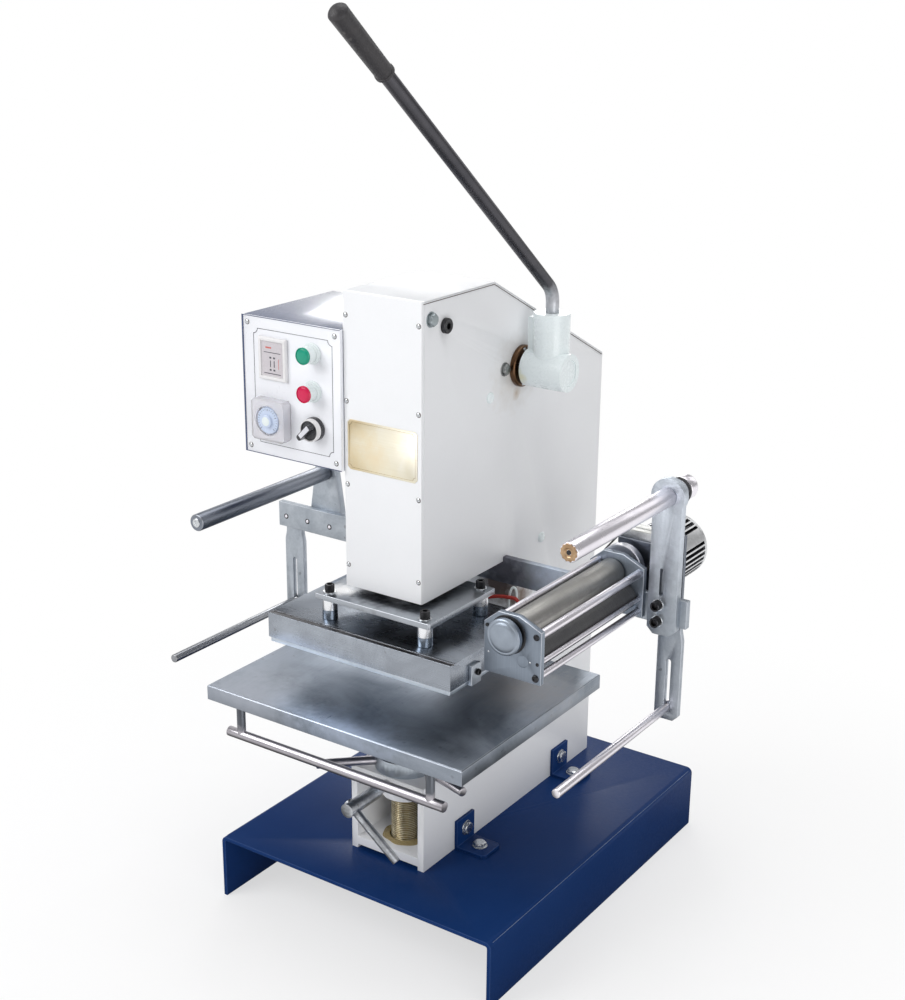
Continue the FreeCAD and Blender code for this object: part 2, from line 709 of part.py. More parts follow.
# ---- ram and heating block ----------------------------------------------------------------------
def standoff_places():
    """(x, y) of the four standoffs."""
    return [(sx * STANDOFF_X, PRESS_Y + sy * STANDOFF_Y) for sx in (-1, 1) for sy in (-1, 1)]


def make_ram():
    """Round ram with a head that the return spring holds, and the eye of the lower link."""
    ram = rod_z(RAM_PLATE_TOP, RAM_SHAFT_TOP, 0, PRESS_Y, RAM_R)
    top = RAM_SHAFT_TOP + RAM_HEAD_T
    head = box(-RAM_R, RAM_R, SPRING_Y - SPRING_R, PRESS_Y + RAM_R, RAM_SHAFT_TOP, top)
    eye = bar_link((PRESS_Y, top + LINK_END_R), (PRESS_Y, RAM_PIN_Z), LINK_END_R,
                   -LINK_T / 2, LINK_T / 2)
    pin_half = LINK_T / 2 + GAP + CHEEK_T
    pin = rod_x(-pin_half, pin_half, PRESS_Y, RAM_PIN_Z, CRANK_PIN_R)
    return join([ram, head, eye, pin])


def make_ram_plate():
    """Plate under the ram that the standoffs hang from."""
    plate = box(-RAM_PLATE_X, RAM_PLATE_X, PRESS_Y - RAM_PLATE_Y, PRESS_Y + RAM_PLATE_Y,
                STANDOFF_TOP, RAM_PLATE_TOP)
    return bevelled(plate, RAM_PLATE_EDGE, lambda e: runs_along(e, Z_AXIS))


def make_standoffs():
    """Four standoffs between the ram's plate and the heating block."""
    return group([rod_z(HEAT_TOP, STANDOFF_TOP, x, y, STANDOFF_R) for x, y in standoff_places()])


def make_ram_screws():
    """Heads of the four screws that hold the heating block up to the ram's plate."""
    return group([rod_z(RAM_PLATE_TOP, RAM_PLATE_TOP + RAM_SCREW_HEAD, x, y, RAM_SCREW_HEAD_R)
                  for x, y in standoff_places()])


def make_heat_block():
    """Heating block with a groove along its front edge."""
    x0 = HEAT_X - HEAT_WIDTH / 2
    x1 = HEAT_X + HEAT_WIDTH / 2
    block = box(x0, x1, HEAT_FRONT, HEAT_BACK, HEAT_LOW, HEAT_TOP)
    groove = box(x0, x1, HEAT_FRONT + HEAT_GROOVE, HEAT_FRONT + HEAT_GROOVE + HEAT_GROOVE_W,
                 HEAT_TOP - HEAT_GROOVE_DEPTH, HEAT_TOP)
    return block.cut(groove)


def make_die_plate():
    """Die plate under the heating block, with its front lip."""
    half = HEAT_WIDTH / 2 - DIE_INSET
    return box(HEAT_X - half, HEAT_X + half, HEAT_FRONT + DIE_INSET, HEAT_BACK - DIE_INSET,
               HEAT_LOW - DIE_T, HEAT_LOW)


def make_latch():
    """Bracket on the heating block's right side that holds the die plate in."""
    wall = HEAT_X + HEAT_WIDTH / 2
    y0 = HEAT_FRONT + LATCH_FRONT
    top = HEAT_TOP - LATCH_HIGH
    low = HEAT_LOW - DIE_T
    leg = box(wall, wall + LATCH_T, y0, y0 + LATCH_W, low, top)
    hook = box(wall - DIE_INSET, wall, y0, y0 + LATCH_W, low, HEAT_LOW)
    return join([leg, hook])


# ---- cross bar and arms -------------------------------------------------------------------------
def right_arm_screws():
    """(x, z) of the two screws of the right arm."""
    x = RIGHT_ARM_X - ARM_SCREW_INSET
    return [(x, BAR_MID + ARM_SCREW_SPREAD), (x, BAR_MID - ARM_SCREW_SPREAD)]


def make_cross_bar():
    """Flat bar across the machine that carries both arms and the feed unit."""
    return box(-BAR_HALF, BAR_HALF, BAR_Y, BAR_BACK, BAR_LOW, BAR_TOP)


def make_arm_screws():
    """Heads of the two screws of the right arm."""
    return group([rod_y(RIGHT_ARM_FRONT - ARM_SCREW_HEAD, RIGHT_ARM_FRONT, x, z, ARM_SCREW_HEAD_R)
                  for x, z in right_arm_screws()])


def make_left_arm():
    """Tapered plate behind the bar that carries the unwind shaft."""
    foot = LEFT_ARM_FOOT_W / 2
    outline = [
        (LEFT_ARM_X - foot - LEFT_ARM_HEEL, LEFT_ARM_LOW), (LEFT_ARM_X + foot, LEFT_ARM_LOW),
        (LEFT_ARM_X + foot, BAR_TOP), (LEFT_ARM_X + LEFT_ARM_R, UNWIND_Z),
        (LEFT_ARM_X - LEFT_ARM_R, UNWIND_Z), (LEFT_ARM_X - foot, BAR_TOP),
        (LEFT_ARM_X - foot - LEFT_ARM_HEEL, BAR_TOP - LEFT_ARM_HEEL),
    ]
    back = BAR_BACK + ARM_T
    arm = join([prism_y(outline, BAR_BACK, back),
                rod_y(BAR_BACK, back, LEFT_ARM_X, UNWIND_Z, LEFT_ARM_R)])
    return arm.cut(rod_y(BAR_BACK, back, LEFT_ARM_X, UNWIND_Z, UNWIND_JOURNAL_R + RUN))


def make_right_arm():
    """Upright plate in front of the bar that carries the rewind shaft."""
    half = RIGHT_ARM_W / 2
    front = RIGHT_ARM_FRONT
    body = box(RIGHT_ARM_X - half, RIGHT_ARM_X + half, front, BAR_Y, RIGHT_ARM_LOW, REWIND_Z)
    body = bevelled(body, ARM_TOE, lambda e: runs_along(e, Y_AXIS) and e.CenterOfMass.z < BAR_LOW)
    boss_end = PULLEY_Y - GAP
    arm = join([body, rod_y(front, BAR_Y, RIGHT_ARM_X, REWIND_Z, REWIND_HEAD_R),
                rod_y(BAR_Y, boss_end, RIGHT_ARM_X, REWIND_Z, REWIND_BOSS_R)])
    slot = slot_y(RIGHT_ARM_X - ARM_SLOT_INSET, ARM_SLOT_LOW, ARM_SLOT_HIGH, ARM_SLOT_W, front, BAR_Y)
    return arm.cut([rod_y(front, boss_end, RIGHT_ARM_X, REWIND_Z, REWIND_JOURNAL_R + RUN), slot])


def make_drop_arm(x):
    """Slotted plate that hangs behind the bar and carries a lower guide rod."""
    half = DROP_W / 2
    back = BAR_BACK + DROP_T
    neck = half - DROP_NECK
    outline = [
        (x - half, DROP_LOW + DROP_TOE), (x - half + DROP_TOE, DROP_LOW),
        (x + half - DROP_TOE, DROP_LOW), (x + half, DROP_LOW + DROP_TOE),
        (x + half, BAR_LOW - DROP_NECK_START), (x + neck, BAR_LOW - DROP_NECK_END),
        (x + neck, DROP_TOP), (x - neck, DROP_TOP), (x - neck, BAR_LOW - DROP_NECK_END),
        (x - half, BAR_LOW - DROP_NECK_START),
    ]
    arm = prism_y(outline, BAR_BACK, back)
    return arm.cut(slot_y(x, DROP_SLOT_LOW, DROP_SLOT_HIGH, DROP_SLOT_W, BAR_BACK, back))


def make_guide_rod(x, front):
    """Thin foil guide rod with a stud through its arm's slot and a nut behind."""
    rod = rod_y(front, BAR_BACK - GAP, x, GUIDE_ROD_Z, GUIDE_ROD_R)
    back = BAR_BACK + DROP_T + GAP
    stud = rod_y(BAR_BACK - GAP, back, x, GUIDE_ROD_Z, GUIDE_STUD_R)
    nut = hexagon_prism(GUIDE_NUT_AF, GUIDE_NUT, V(x, back, GUIDE_ROD_Z), Y_AXIS)
    return join([rod, stud, nut])


def make_unwind_shaft():
    """Thick shaft for the foil roll, with a journal in the left arm and a collar behind it."""
    rod = rod_y(UNWIND_FRONT, BAR_BACK - GAP, LEFT_ARM_X, UNWIND_Z, UNWIND_R)
    back = BAR_BACK + ARM_T + GAP
    journal = rod_y(BAR_BACK - GAP, back, LEFT_ARM_X, UNWIND_Z, UNWIND_JOURNAL_R)
    collar = rod_y(back, back + UNWIND_COLLAR, LEFT_ARM_X, UNWIND_Z, UNWIND_COLLAR_R)
    return join([rod, journal, collar])


def make_rewind_shaft():
    """Shaft that winds the used foil, with a journal through the right arm to its pulley and cap."""
    shoulder = RIGHT_ARM_FRONT - GAP
    back = PULLEY_Y + PULLEY_T
    rod = rod_y(REWIND_FRONT, shoulder, RIGHT_ARM_X, REWIND_Z, REWIND_R)
    journal = rod_y(shoulder, back, RIGHT_ARM_X, REWIND_Z, REWIND_JOURNAL_R)
    cap = rod_y(back, back + REWIND_CAP, RIGHT_ARM_X, REWIND_Z, REWIND_CAP_R)
    cap = bevelled(cap, EDGE, lambda e: circle_at(e, REWIND_CAP_R, Y_AXIS, back + REWIND_CAP))
    return join([rod, journal, cap])


# ---- foil feed unit -----------------------------------------------------------------------------
def feed_outline():
    """(x, z) outline of a feed plate with its two cut shoulders."""
    return [
        (FEED_LEFT, FEED_LOW), (FEED_RIGHT, FEED_LOW), (FEED_RIGHT, FEED_SHOULDER),
        (FEED_RIGHT - FEED_RIGHT_CUT, FEED_HIGH), (FEED_LEFT + FEED_LEFT_CUT, FEED_HIGH),
        (FEED_LEFT, FEED_SHOULDER - FEED_LEFT_DROP),
    ]


def make_feed_plate(y0):
    """Plate that carries the rollers' journals and the tie rods."""
    y1 = y0 + FEED_PLATE_T
    plate = prism_y(feed_outline(), y0, y1)
    return plate.cut([rod_y(y0, y1, DRIVE_X, DRIVE_Z, ROLLER_SHAFT_R + RUN),
                      rod_y(y0, y1, NIP_X, NIP_Z, ROLLER_SHAFT_R + RUN)])


def make_tie_rods():
    """Rods that hold the two feed plates apart."""
    return group([rod_y(FEED_INNER, FEED_BACK, FEED_LEFT + x, FEED_LOW + z, r)
                  for x, z, r in TIE_RODS])


def make_drive_roller():
    """Steel drive roller with its shaft, through the back plate to the motor's gearbox."""
    roller = rod_y(FEED_INNER + ROLLER_PLAY, FEED_BACK - ROLLER_PLAY, DRIVE_X, DRIVE_Z, DRIVE_R)
    shaft = rod_y(FEED_FRONT - GAP - KNOB_GRIP, MOTOR_PLATE_Y + MOTOR_PLATE_T + DRIVE_ENTRY,
                  DRIVE_X, DRIVE_Z, ROLLER_SHAFT_R)
    return join([roller, shaft])


def make_nip_roller():
    """Rubber-covered roller that presses the foil against the drive roller."""
    roller = rod_y(FEED_INNER + ROLLER_PLAY, FEED_BACK - ROLLER_PLAY, NIP_X, NIP_Z, NIP_R)
    shaft = rod_y(FEED_FRONT + ROLLER_PLAY, BAR_Y - ROLLER_PLAY, NIP_X, NIP_Z, ROLLER_SHAFT_R)
    return join([roller, shaft])


def make_feed_knob():
    """Turned aluminium knob on the drive roller's front end."""
    front = FEED_FRONT - GAP - KNOB_T
    knob = rod_y(front, FEED_FRONT - GAP, DRIVE_X, DRIVE_Z, KNOB_R)
    knob = bevelled(knob, KNOB_EDGE, lambda e: circle_at(e, KNOB_R, Y_AXIS, front))
    return knob.cut(rod_y(FEED_FRONT - GAP - KNOB_GRIP - RUN, FEED_FRONT - GAP, DRIVE_X, DRIVE_Z,
                          ROLLER_SHAFT_R + RUN))


def make_pulley(x, z, r, bore_r):
    """Flat belt pulley."""
    y1 = PULLEY_Y + PULLEY_T
    return rod_y(PULLEY_Y, y1, x, z, r).cut(rod_y(PULLEY_Y, y1, x, z, bore_r + RUN))


def make_belt():
    """Flat belt from the drive roller's pulley to the rewind pulley."""
    y0 = PULLEY_Y + BELT_INSET
    width = PULLEY_T - 2 * BELT_INSET
    r1 = DRIVE_PULLEY_R + RUN
    r2 = REWIND_PULLEY_R + RUN
    return belt_loop(r1 + BELT_T, r2 + BELT_T, y0, width).cut(belt_loop(r1, r2, y0, width))


def belt_loop(r1, r2, y0, width):
    """Solid outline round two circles and their common tangents."""
    dx = RIGHT_ARM_X - DRIVE_X
    dz = REWIND_Z - DRIVE_Z
    distance = math.hypot(dx, dz)
    lean = math.atan2(dz, dx)
    open_angle = math.acos((r1 - r2) / distance)
    corners = []
    for x, z, r, sign in ((DRIVE_X, DRIVE_Z, r1, 1), (RIGHT_ARM_X, REWIND_Z, r2, 1),
                          (RIGHT_ARM_X, REWIND_Z, r2, -1), (DRIVE_X, DRIVE_Z, r1, -1)):
        angle = lean + sign * open_angle
        corners.append((x + r * math.cos(angle), z + r * math.sin(angle)))
    web = prism_y(corners, y0, y0 + width)
    return join([web, rod_y(y0, y0 + width, DRIVE_X, DRIVE_Z, r1),
                 rod_y(y0, y0 + width, RIGHT_ARM_X, REWIND_Z, r2)])


def make_motor_bracket():
    """Stepped motor plate behind the pulley, with a foot that reaches forward to the bar."""
    left = MOTOR_X - GEARBOX_SIDE / 2
    step_top = MOTOR_PLATE_TOP - MOTOR_PLATE_STEP
    y1 = MOTOR_PLATE_Y + MOTOR_PLATE_T
    foot_end = RIGHT_DROP_X - DROP_W / 2 - MOTOR_FOOT_PLAY
    plate = prism_y([
        (left, BAR_LOW), (MOTOR_PLATE_RIGHT, BAR_LOW), (MOTOR_PLATE_RIGHT, MOTOR_PLATE_TOP),
        (MOTOR_PLATE_STEP_X, MOTOR_PLATE_TOP), (MOTOR_PLATE_STEP_X, step_top), (left, step_top),
    ], MOTOR_PLATE_Y, y1)
    foot = box(left, foot_end, BAR_BACK, y1, BAR_LOW, BAR_LOW + MOTOR_PLATE_T)
    lip = box(left, foot_end, BAR_BACK, BAR_BACK + MOTOR_LIP_T, BAR_LOW, BAR_LOW + MOTOR_LIP)
    gusset = prism_x([(BAR_BACK, BAR_LOW), (y1, BAR_LOW), (y1, BAR_TOP - BAR_SEAT_INSET)],
                     foot_end - MOTOR_GUSSET_T, foot_end)
    bracket = join([plate, foot, lip, gusset])
    return bracket.cut(rod_y(MOTOR_PLATE_Y, y1, DRIVE_X, DRIVE_Z,
                              ROLLER_SHAFT_R + MOTOR_PLATE_BORE))


def make_gearbox():
    """Square gearbox behind the motor plate."""
    half = GEARBOX_SIDE / 2
    y0 = MOTOR_PLATE_Y + MOTOR_PLATE_T
    gearbox = box(MOTOR_X - half, MOTOR_X + half, y0, y0 + GEARBOX_T, MOTOR_Z - half, MOTOR_Z + half)
    gearbox = bevelled(gearbox, GEARBOX_EDGE, lambda e: runs_along(e, Y_AXIS))
    return gearbox.cut(rod_y(y0, y0 + DRIVE_ENTRY + RUN, DRIVE_X, DRIVE_Z, ROLLER_SHAFT_R + RUN))


def make_motor():
    """Gearbox, and a round motor with cooling fins along its length and a smooth end bell."""
    y0 = MOTOR_PLATE_Y + MOTOR_PLATE_T + GEARBOX_T
    y1 = y0 + MOTOR_FIN_LENGTH
    back = y1 + END_BELL
    root = MOTOR_R - MOTOR_FIN_DEPTH
    outline = []
    pitch = 2 * math.pi / MOTOR_FINS
    flank, tip, end = MOTOR_FIN
    for index in range(MOTOR_FINS):
        low = MOTOR_R if index in MOTOR_PAD_FINS else root
        for share, r in ((0.0, low), (flank, MOTOR_R), (tip, MOTOR_R), (end, low)):
            angle = (index + share) * pitch
            outline.append((MOTOR_X + r * math.cos(angle), MOTOR_Z + r * math.sin(angle)))
    bell = rod_y(y1, back, MOTOR_X, MOTOR_Z, MOTOR_R)
    bell = bevelled(bell, END_BELL_EDGE, lambda e: circle_at(e, MOTOR_R, Y_AXIS, back))
    return group([make_gearbox(), join([prism_y(outline, y0, y1), bell])])


# ---- control box --------------------------------------------------------------------------------
def make_control_box():
    """Sheet housing on the head's left side, open at the front."""
    outer = box(BOX_LEFT, BOX_RIGHT, PANEL_BACK, PANEL_BACK + BOX_DEPTH, BOX_LOW, BOX_LOW + BOX_HEIGHT)
    outer = bevelled(outer, EDGE, lambda e: runs_along(e, Y_AXIS) and e.CenterOfMass.x < BOX_LEFT + 1)
    inner = box(BOX_LEFT + BOX_SHEET, BOX_RIGHT - BOX_SHEET, PANEL_BACK,
                PANEL_BACK + BOX_DEPTH - BOX_SHEET, BOX_LOW + BOX_SHEET,
                BOX_LOW + BOX_HEIGHT - BOX_SHEET)
    return outer.cut(inner)


def make_panel():
    """Front panel that carries the instruments."""
    panel = box(BOX_LEFT, BOX_RIGHT, PANEL_FRONT, PANEL_BACK, BOX_LOW, BOX_LOW + BOX_HEIGHT)
    return bevelled(panel, EDGE, lambda e: runs_along(e, Y_AXIS))


def make_timer():
    """Digital timer with a raised frame round its face."""
    w = TIMER_W / 2
    h = TIMER_H / 2
    front = PANEL_FRONT - TIMER_T
    body = box(TIMER_X - w, TIMER_X + w, front, PANEL_FRONT, TIMER_Z - h, TIMER_Z + h)
    body = bevelled(body, EDGE, lambda e: e.CenterOfMass.y < front + 0.1)
    return body.cut(box(TIMER_X - w + TIMER_RIM, TIMER_X + w - TIMER_RIM, front, front + TIMER_RECESS,
                        TIMER_Z - h + TIMER_RIM, TIMER_Z + h - TIMER_RIM))


def make_lamp_bezels():
    """Round bezels of the two signal lamps."""
    solids = []
    for z in (GREEN_Z, RED_Z):
        solids.append(rod_y(PANEL_FRONT - LAMP_BEZEL_T, PANEL_FRONT, LAMP_X, z, LAMP_BEZEL_R))
    return group(solids)


def make_lamp_lens(z):
    """Domed lamp cap."""
    back = PANEL_FRONT - LAMP_BEZEL_T
    front = back - LAMP_LENS_T
    lens = rod_y(front, back, LAMP_X, z, LAMP_LENS_R)
    return bevelled(lens, LAMP_LENS_EDGE, lambda e: circle_at(e, LAMP_LENS_R, Y_AXIS, front))


def make_selector_base():
    """Fixed ring of the selector switch."""
    return rod_y(PANEL_FRONT - SELECTOR_BASE_T, PANEL_FRONT, SELECTOR_X, SELECTOR_Z, SELECTOR_R)


def make_selector_knob():
    """Turning part of the selector switch, with a raised bar grip that points down to the left."""
    back = PANEL_FRONT - SELECTOR_BASE_T - GAP
    disc = rod_y(back - SELECTOR_DISC_T, back, SELECTOR_X, SELECTOR_Z, SELECTOR_DISC_R)
    grip = box(-SELECTOR_GRIP, SELECTOR_TAIL, back - SELECTOR_T, back - SELECTOR_DISC_T,
               -SELECTOR_GRIP_W / 2, SELECTOR_GRIP_W / 2)
    grip = bevelled(grip, SELECTOR_EDGE, lambda e: runs_along(e, Y_AXIS))
    grip.rotate(V(0, 0, 0), Y_AXIS, SELECTOR_TURN)
    grip.translate(V(SELECTOR_X, 0, SELECTOR_Z))
    return join([disc, grip])


def make_thermostat():
    """Clear hood of the thermostat, with a round mouth for its dial."""
    half = THERMO_SIDE / 2
    front = PANEL_FRONT - THERMO_T
    body = box(THERMO_X - half, THERMO_X + half, front, PANEL_FRONT,
               THERMO_Z - half, THERMO_Z + half)
    body = bevelled(body, THERMO_CORNER, lambda e: runs_along(e, Y_AXIS))
    room = half - THERMO_WALL
    hollow = box(THERMO_X - room, THERMO_X + room, front + THERMO_WALL, PANEL_FRONT,
                 THERMO_Z - room, THERMO_Z + room)
    mouth = rod_y(front, front + THERMO_WALL, THERMO_X, THERMO_Z,
                  THERMO_DIAL_R + THERMO_DIAL_PLAY)
    return body.cut([hollow, mouth])


def make_thermostat_dial():
    """Dial of the thermostat, with its raised middle."""
    front = PANEL_FRONT - THERMO_T
    back = PANEL_FRONT - GAP
    skirt = rod_y(front, back, THERMO_X, THERMO_Z, THERMO_DIAL_R)
    knob = rod_y(front - THERMO_KNOB, front, THERMO_X, THERMO_Z, THERMO_KNOB_R)
    return join([skirt, knob])


# ---- lever --------------------------------------------------------------------------------------
def make_hub():
    """Cast hub: a boss on the crankshaft and an upright socket for the lever."""
    start = FRAME_HALF + HUB_GAP
    boss = rod_x(start, HUB_END, SHAFT_Y, SHAFT_Z, HUB_R)
    socket = rod_z(SHAFT_Z, SOCKET_TOP, SOCKET_X, SOCKET_Y, SOCKET_R)
    ear = box(start, SOCKET_X, SOCKET_Y - EAR_HALF, SOCKET_Y + EAR_HALF, SHAFT_Z,
              SOCKET_TOP - EAR_DROP)
    hub = join([boss, socket, ear])
    cuts = [
        rod_x(start, HUB_END - HUB_END_PLATE, SHAFT_Y, SHAFT_Z, SHAFT_R + RUN),
        rod_x(HUB_END - HUB_RECESS, HUB_END, SHAFT_Y, SHAFT_Z, HUB_RECESS_R),
        rod_z(SOCKET_TOP - SOCKET_DEPTH, SOCKET_TOP, SOCKET_X, SOCKET_Y, LEVER_R + RUN),
    ]
    return hub.cut(cuts)


def make_lever_rod():
    """Bent lever: an upright stem, a bend, and a straight run up into the grip."""
    rise = math.radians(LEVER_RISE)
    along = V(0, -math.cos(rise), math.sin(rise))
    bend = V(SOCKET_X, SOCKET_Y, LEVER_BEND_Z)
    half_turn = (math.pi / 2 - rise) / 2
    trim = LEVER_BEND_R * math.tan(half_turn)
    stem_low = SOCKET_TOP - SOCKET_DEPTH
    stem_high = LEVER_BEND_Z - trim
    stem = rod_z(stem_low, stem_high, SOCKET_X, SOCKET_Y, LEVER_R)
    start = bend + along * trim
    centre = V(SOCKET_X, SOCKET_Y - LEVER_BEND_R, stem_high)
    disc = Part.Face(Part.Wire(Part.makeCircle(LEVER_R, V(SOCKET_X, SOCKET_Y, stem_high), Z_AXIS)))
    elbow = disc.revolve(centre, X_AXIS, math.degrees(2 * half_turn))
    run = Part.makeCylinder(LEVER_R, LEVER_REACH - trim - GRIP_END, start, along)
    return join([stem, elbow, run])


def make_grip():
    """Moulded grip on the lever's end, with a flange, a gentle swell and a domed tip."""
    rise = math.radians(LEVER_RISE)
    along = V(0, -math.cos(rise), math.sin(rise))
    start = V(SOCKET_X, SOCKET_Y, LEVER_BEND_Z) + along * (LEVER_REACH - GRIP_LENGTH)
    neck = GRIP_R - GRIP_SWELL
    cap_top = GRIP_LENGTH
    cap_r = (GRIP_R ** 2 + GRIP_CAP ** 2) / (2 * GRIP_CAP)
    half = math.asin(GRIP_R / cap_r) / 2
    corners = [V(0, 0, 0), V(GRIP_R, 0, 0), V(GRIP_R, 0, GRIP_FLANGE), V(neck, 0, GRIP_FLANGE),
               V(GRIP_R, 0, cap_top - GRIP_CAP)]
    lines = [Part.makeLine(a, b) for a, b in zip(corners, corners[1:])]
    dome = Part.Arc(corners[-1], V(cap_r * math.sin(half), 0, cap_top - cap_r * (1 - math.cos(half))),
                    V(0, 0, cap_top)).toShape()
    wire = Part.Wire(lines + [dome, Part.makeLine(V(0, 0, cap_top), V(0, 0, 0))])
    grip = Part.Face(wire).revolve(V(0, 0, 0), Z_AXIS, 360)
    grip = grip.cut(rod_z(0, GRIP_LENGTH - GRIP_END + RUN, 0, 0, LEVER_R + RUN))
    grip.Placement = FreeCAD.Placement(start, FreeCAD.Rotation(Z_AXIS, along))
    return grip


def bar_link(start, end, end_r, x0, x1):
    """Flat link from one (y, z) pivot to another, with cut corners, extruded along X."""
    lean = math.atan2(end[1] - start[1], end[0] - start[0])
    cut = end_r * math.tan(math.radians(22.5))
    corners = []
    for (y, z), turn in ((end, lean), (start, lean + math.pi)):
        for along, across in ((cut, end_r), (end_r, cut), (end_r, -cut), (cut, -end_r)):
            corners.append((y + along * math.cos(turn) + across * math.sin(turn),
                            z + along * math.sin(turn) - across * math.cos(turn)))
    return prism_x(corners, x0, x1)


def make_crankshaft():
    """Crankshaft: two journals, two webs and the crank pin between them."""
    web_in = LINK_T / 2 + GAP
    web_out = web_in + CRANK_WEB
    pieces = [
        rod_x(web_in, HUB_END - HUB_END_PLATE - GAP, SHAFT_Y, SHAFT_Z, SHAFT_R),
        rod_x(-FRAME_HALF - SHAFT_COLLAR, -web_in, SHAFT_Y, SHAFT_Z, SHAFT_R),
        rod_x(-web_in, web_in, CRANK[0], CRANK[1], CRANK_PIN_R),
        bar_link((SHAFT_Y, SHAFT_Z), CRANK, CRANK_WEB_R, web_in, web_out),
        bar_link((SHAFT_Y, SHAFT_Z), CRANK, CRANK_WEB_R, -web_out, -web_in),
        rod_x(-FRAME_HALF - SHAFT_COLLAR, -FRAME_HALF - GAP, SHAFT_Y, SHAFT_Z, SHAFT_COLLAR_R),
    ]
    return join(pieces)


def make_top_pin():
    """Pin of the upper toggle link, through both side plates, with a plug at its right end."""
    pin = rod_x(-FRAME_HALF, FRAME_HALF, PRESS_Y, TOP_PIN_Z, TOP_PIN_R)
    plug = rod_x(FRAME_HALF, FRAME_HALF + PIN_PLUG, PRESS_Y, TOP_PIN_Z, PIN_PLUG_R)
    return join([pin, plug])


def make_upper_link():
    """Upper toggle link: a full-width hub and two cheeks down to the knee pin."""
    hub = rod_x(-INNER_HALF + GAP, INNER_HALF - GAP, PRESS_Y, TOP_PIN_Z, TOP_HUB_R)
    inner = LINK_T / 2 + GAP + CHEEK_T + GAP
    outer = inner + CHEEK_T
    cheeks = [bar_link(TOP_PIVOT, KNEE, CHEEK_END_R, inner, outer),
              bar_link(TOP_PIVOT, KNEE, CHEEK_END_R, -outer, -inner)]
    pin = rod_x(-outer, outer, KNEE[0], KNEE[1], KNEE_PIN_R)
    bore = rod_x(-INNER_HALF, INNER_HALF, PRESS_Y, TOP_PIN_Z, TOP_PIN_R + RUN)
    return join([hub] + cheeks + [pin]).cut(bore)


def make_lower_link():
    """Lower toggle link: two cheeks from the knee pin to the ram's pin, joined by a spacer."""
    inner = LINK_T / 2 + GAP
    outer = inner + CHEEK_T
    cheeks = [bar_link(KNEE, RAM_PIVOT, CHEEK_END_R, inner, outer),
              bar_link(KNEE, RAM_PIVOT, CHEEK_END_R, -outer, -inner)]
    middle = ((KNEE[0] + RAM_PIVOT[0]) / 2, (KNEE[1] + RAM_PIVOT[1]) / 2)
    spacer = bar_link(middle, middle, SPACER_R, -outer, outer)
    knee = rod_x(-outer, outer, KNEE[0], KNEE[1], KNEE_PIN_R + RUN)
    foot = rod_x(-outer, outer, RAM_PIVOT[0], RAM_PIVOT[1], CRANK_PIN_R + RAM_PLAY)
    return join(cheeks + [spacer]).cut([knee, foot])


def make_connecting_link():
    """Connecting link from the knee pin to the crank pin."""
    half = LINK_T / 2
    link = bar_link(KNEE, CRANK, CHEEK_END_R, -half, half)
    knee = rod_x(-half, half, KNEE[0], KNEE[1], KNEE_PIN_R + RUN)
    crank = rod_x(-half, half, CRANK[0], CRANK[1], CRANK_PIN_R + CRANK_PLAY)
    return link.cut([knee, crank])


def make_return_spring():
    """Outer shape of the return spring, from the frame's shelf down to the ram's head."""
    low = RAM_SHAFT_TOP + RAM_HEAD_T
    return rod_z(low, SPRING_TOP, 0, SPRING_Y, SPRING_R)


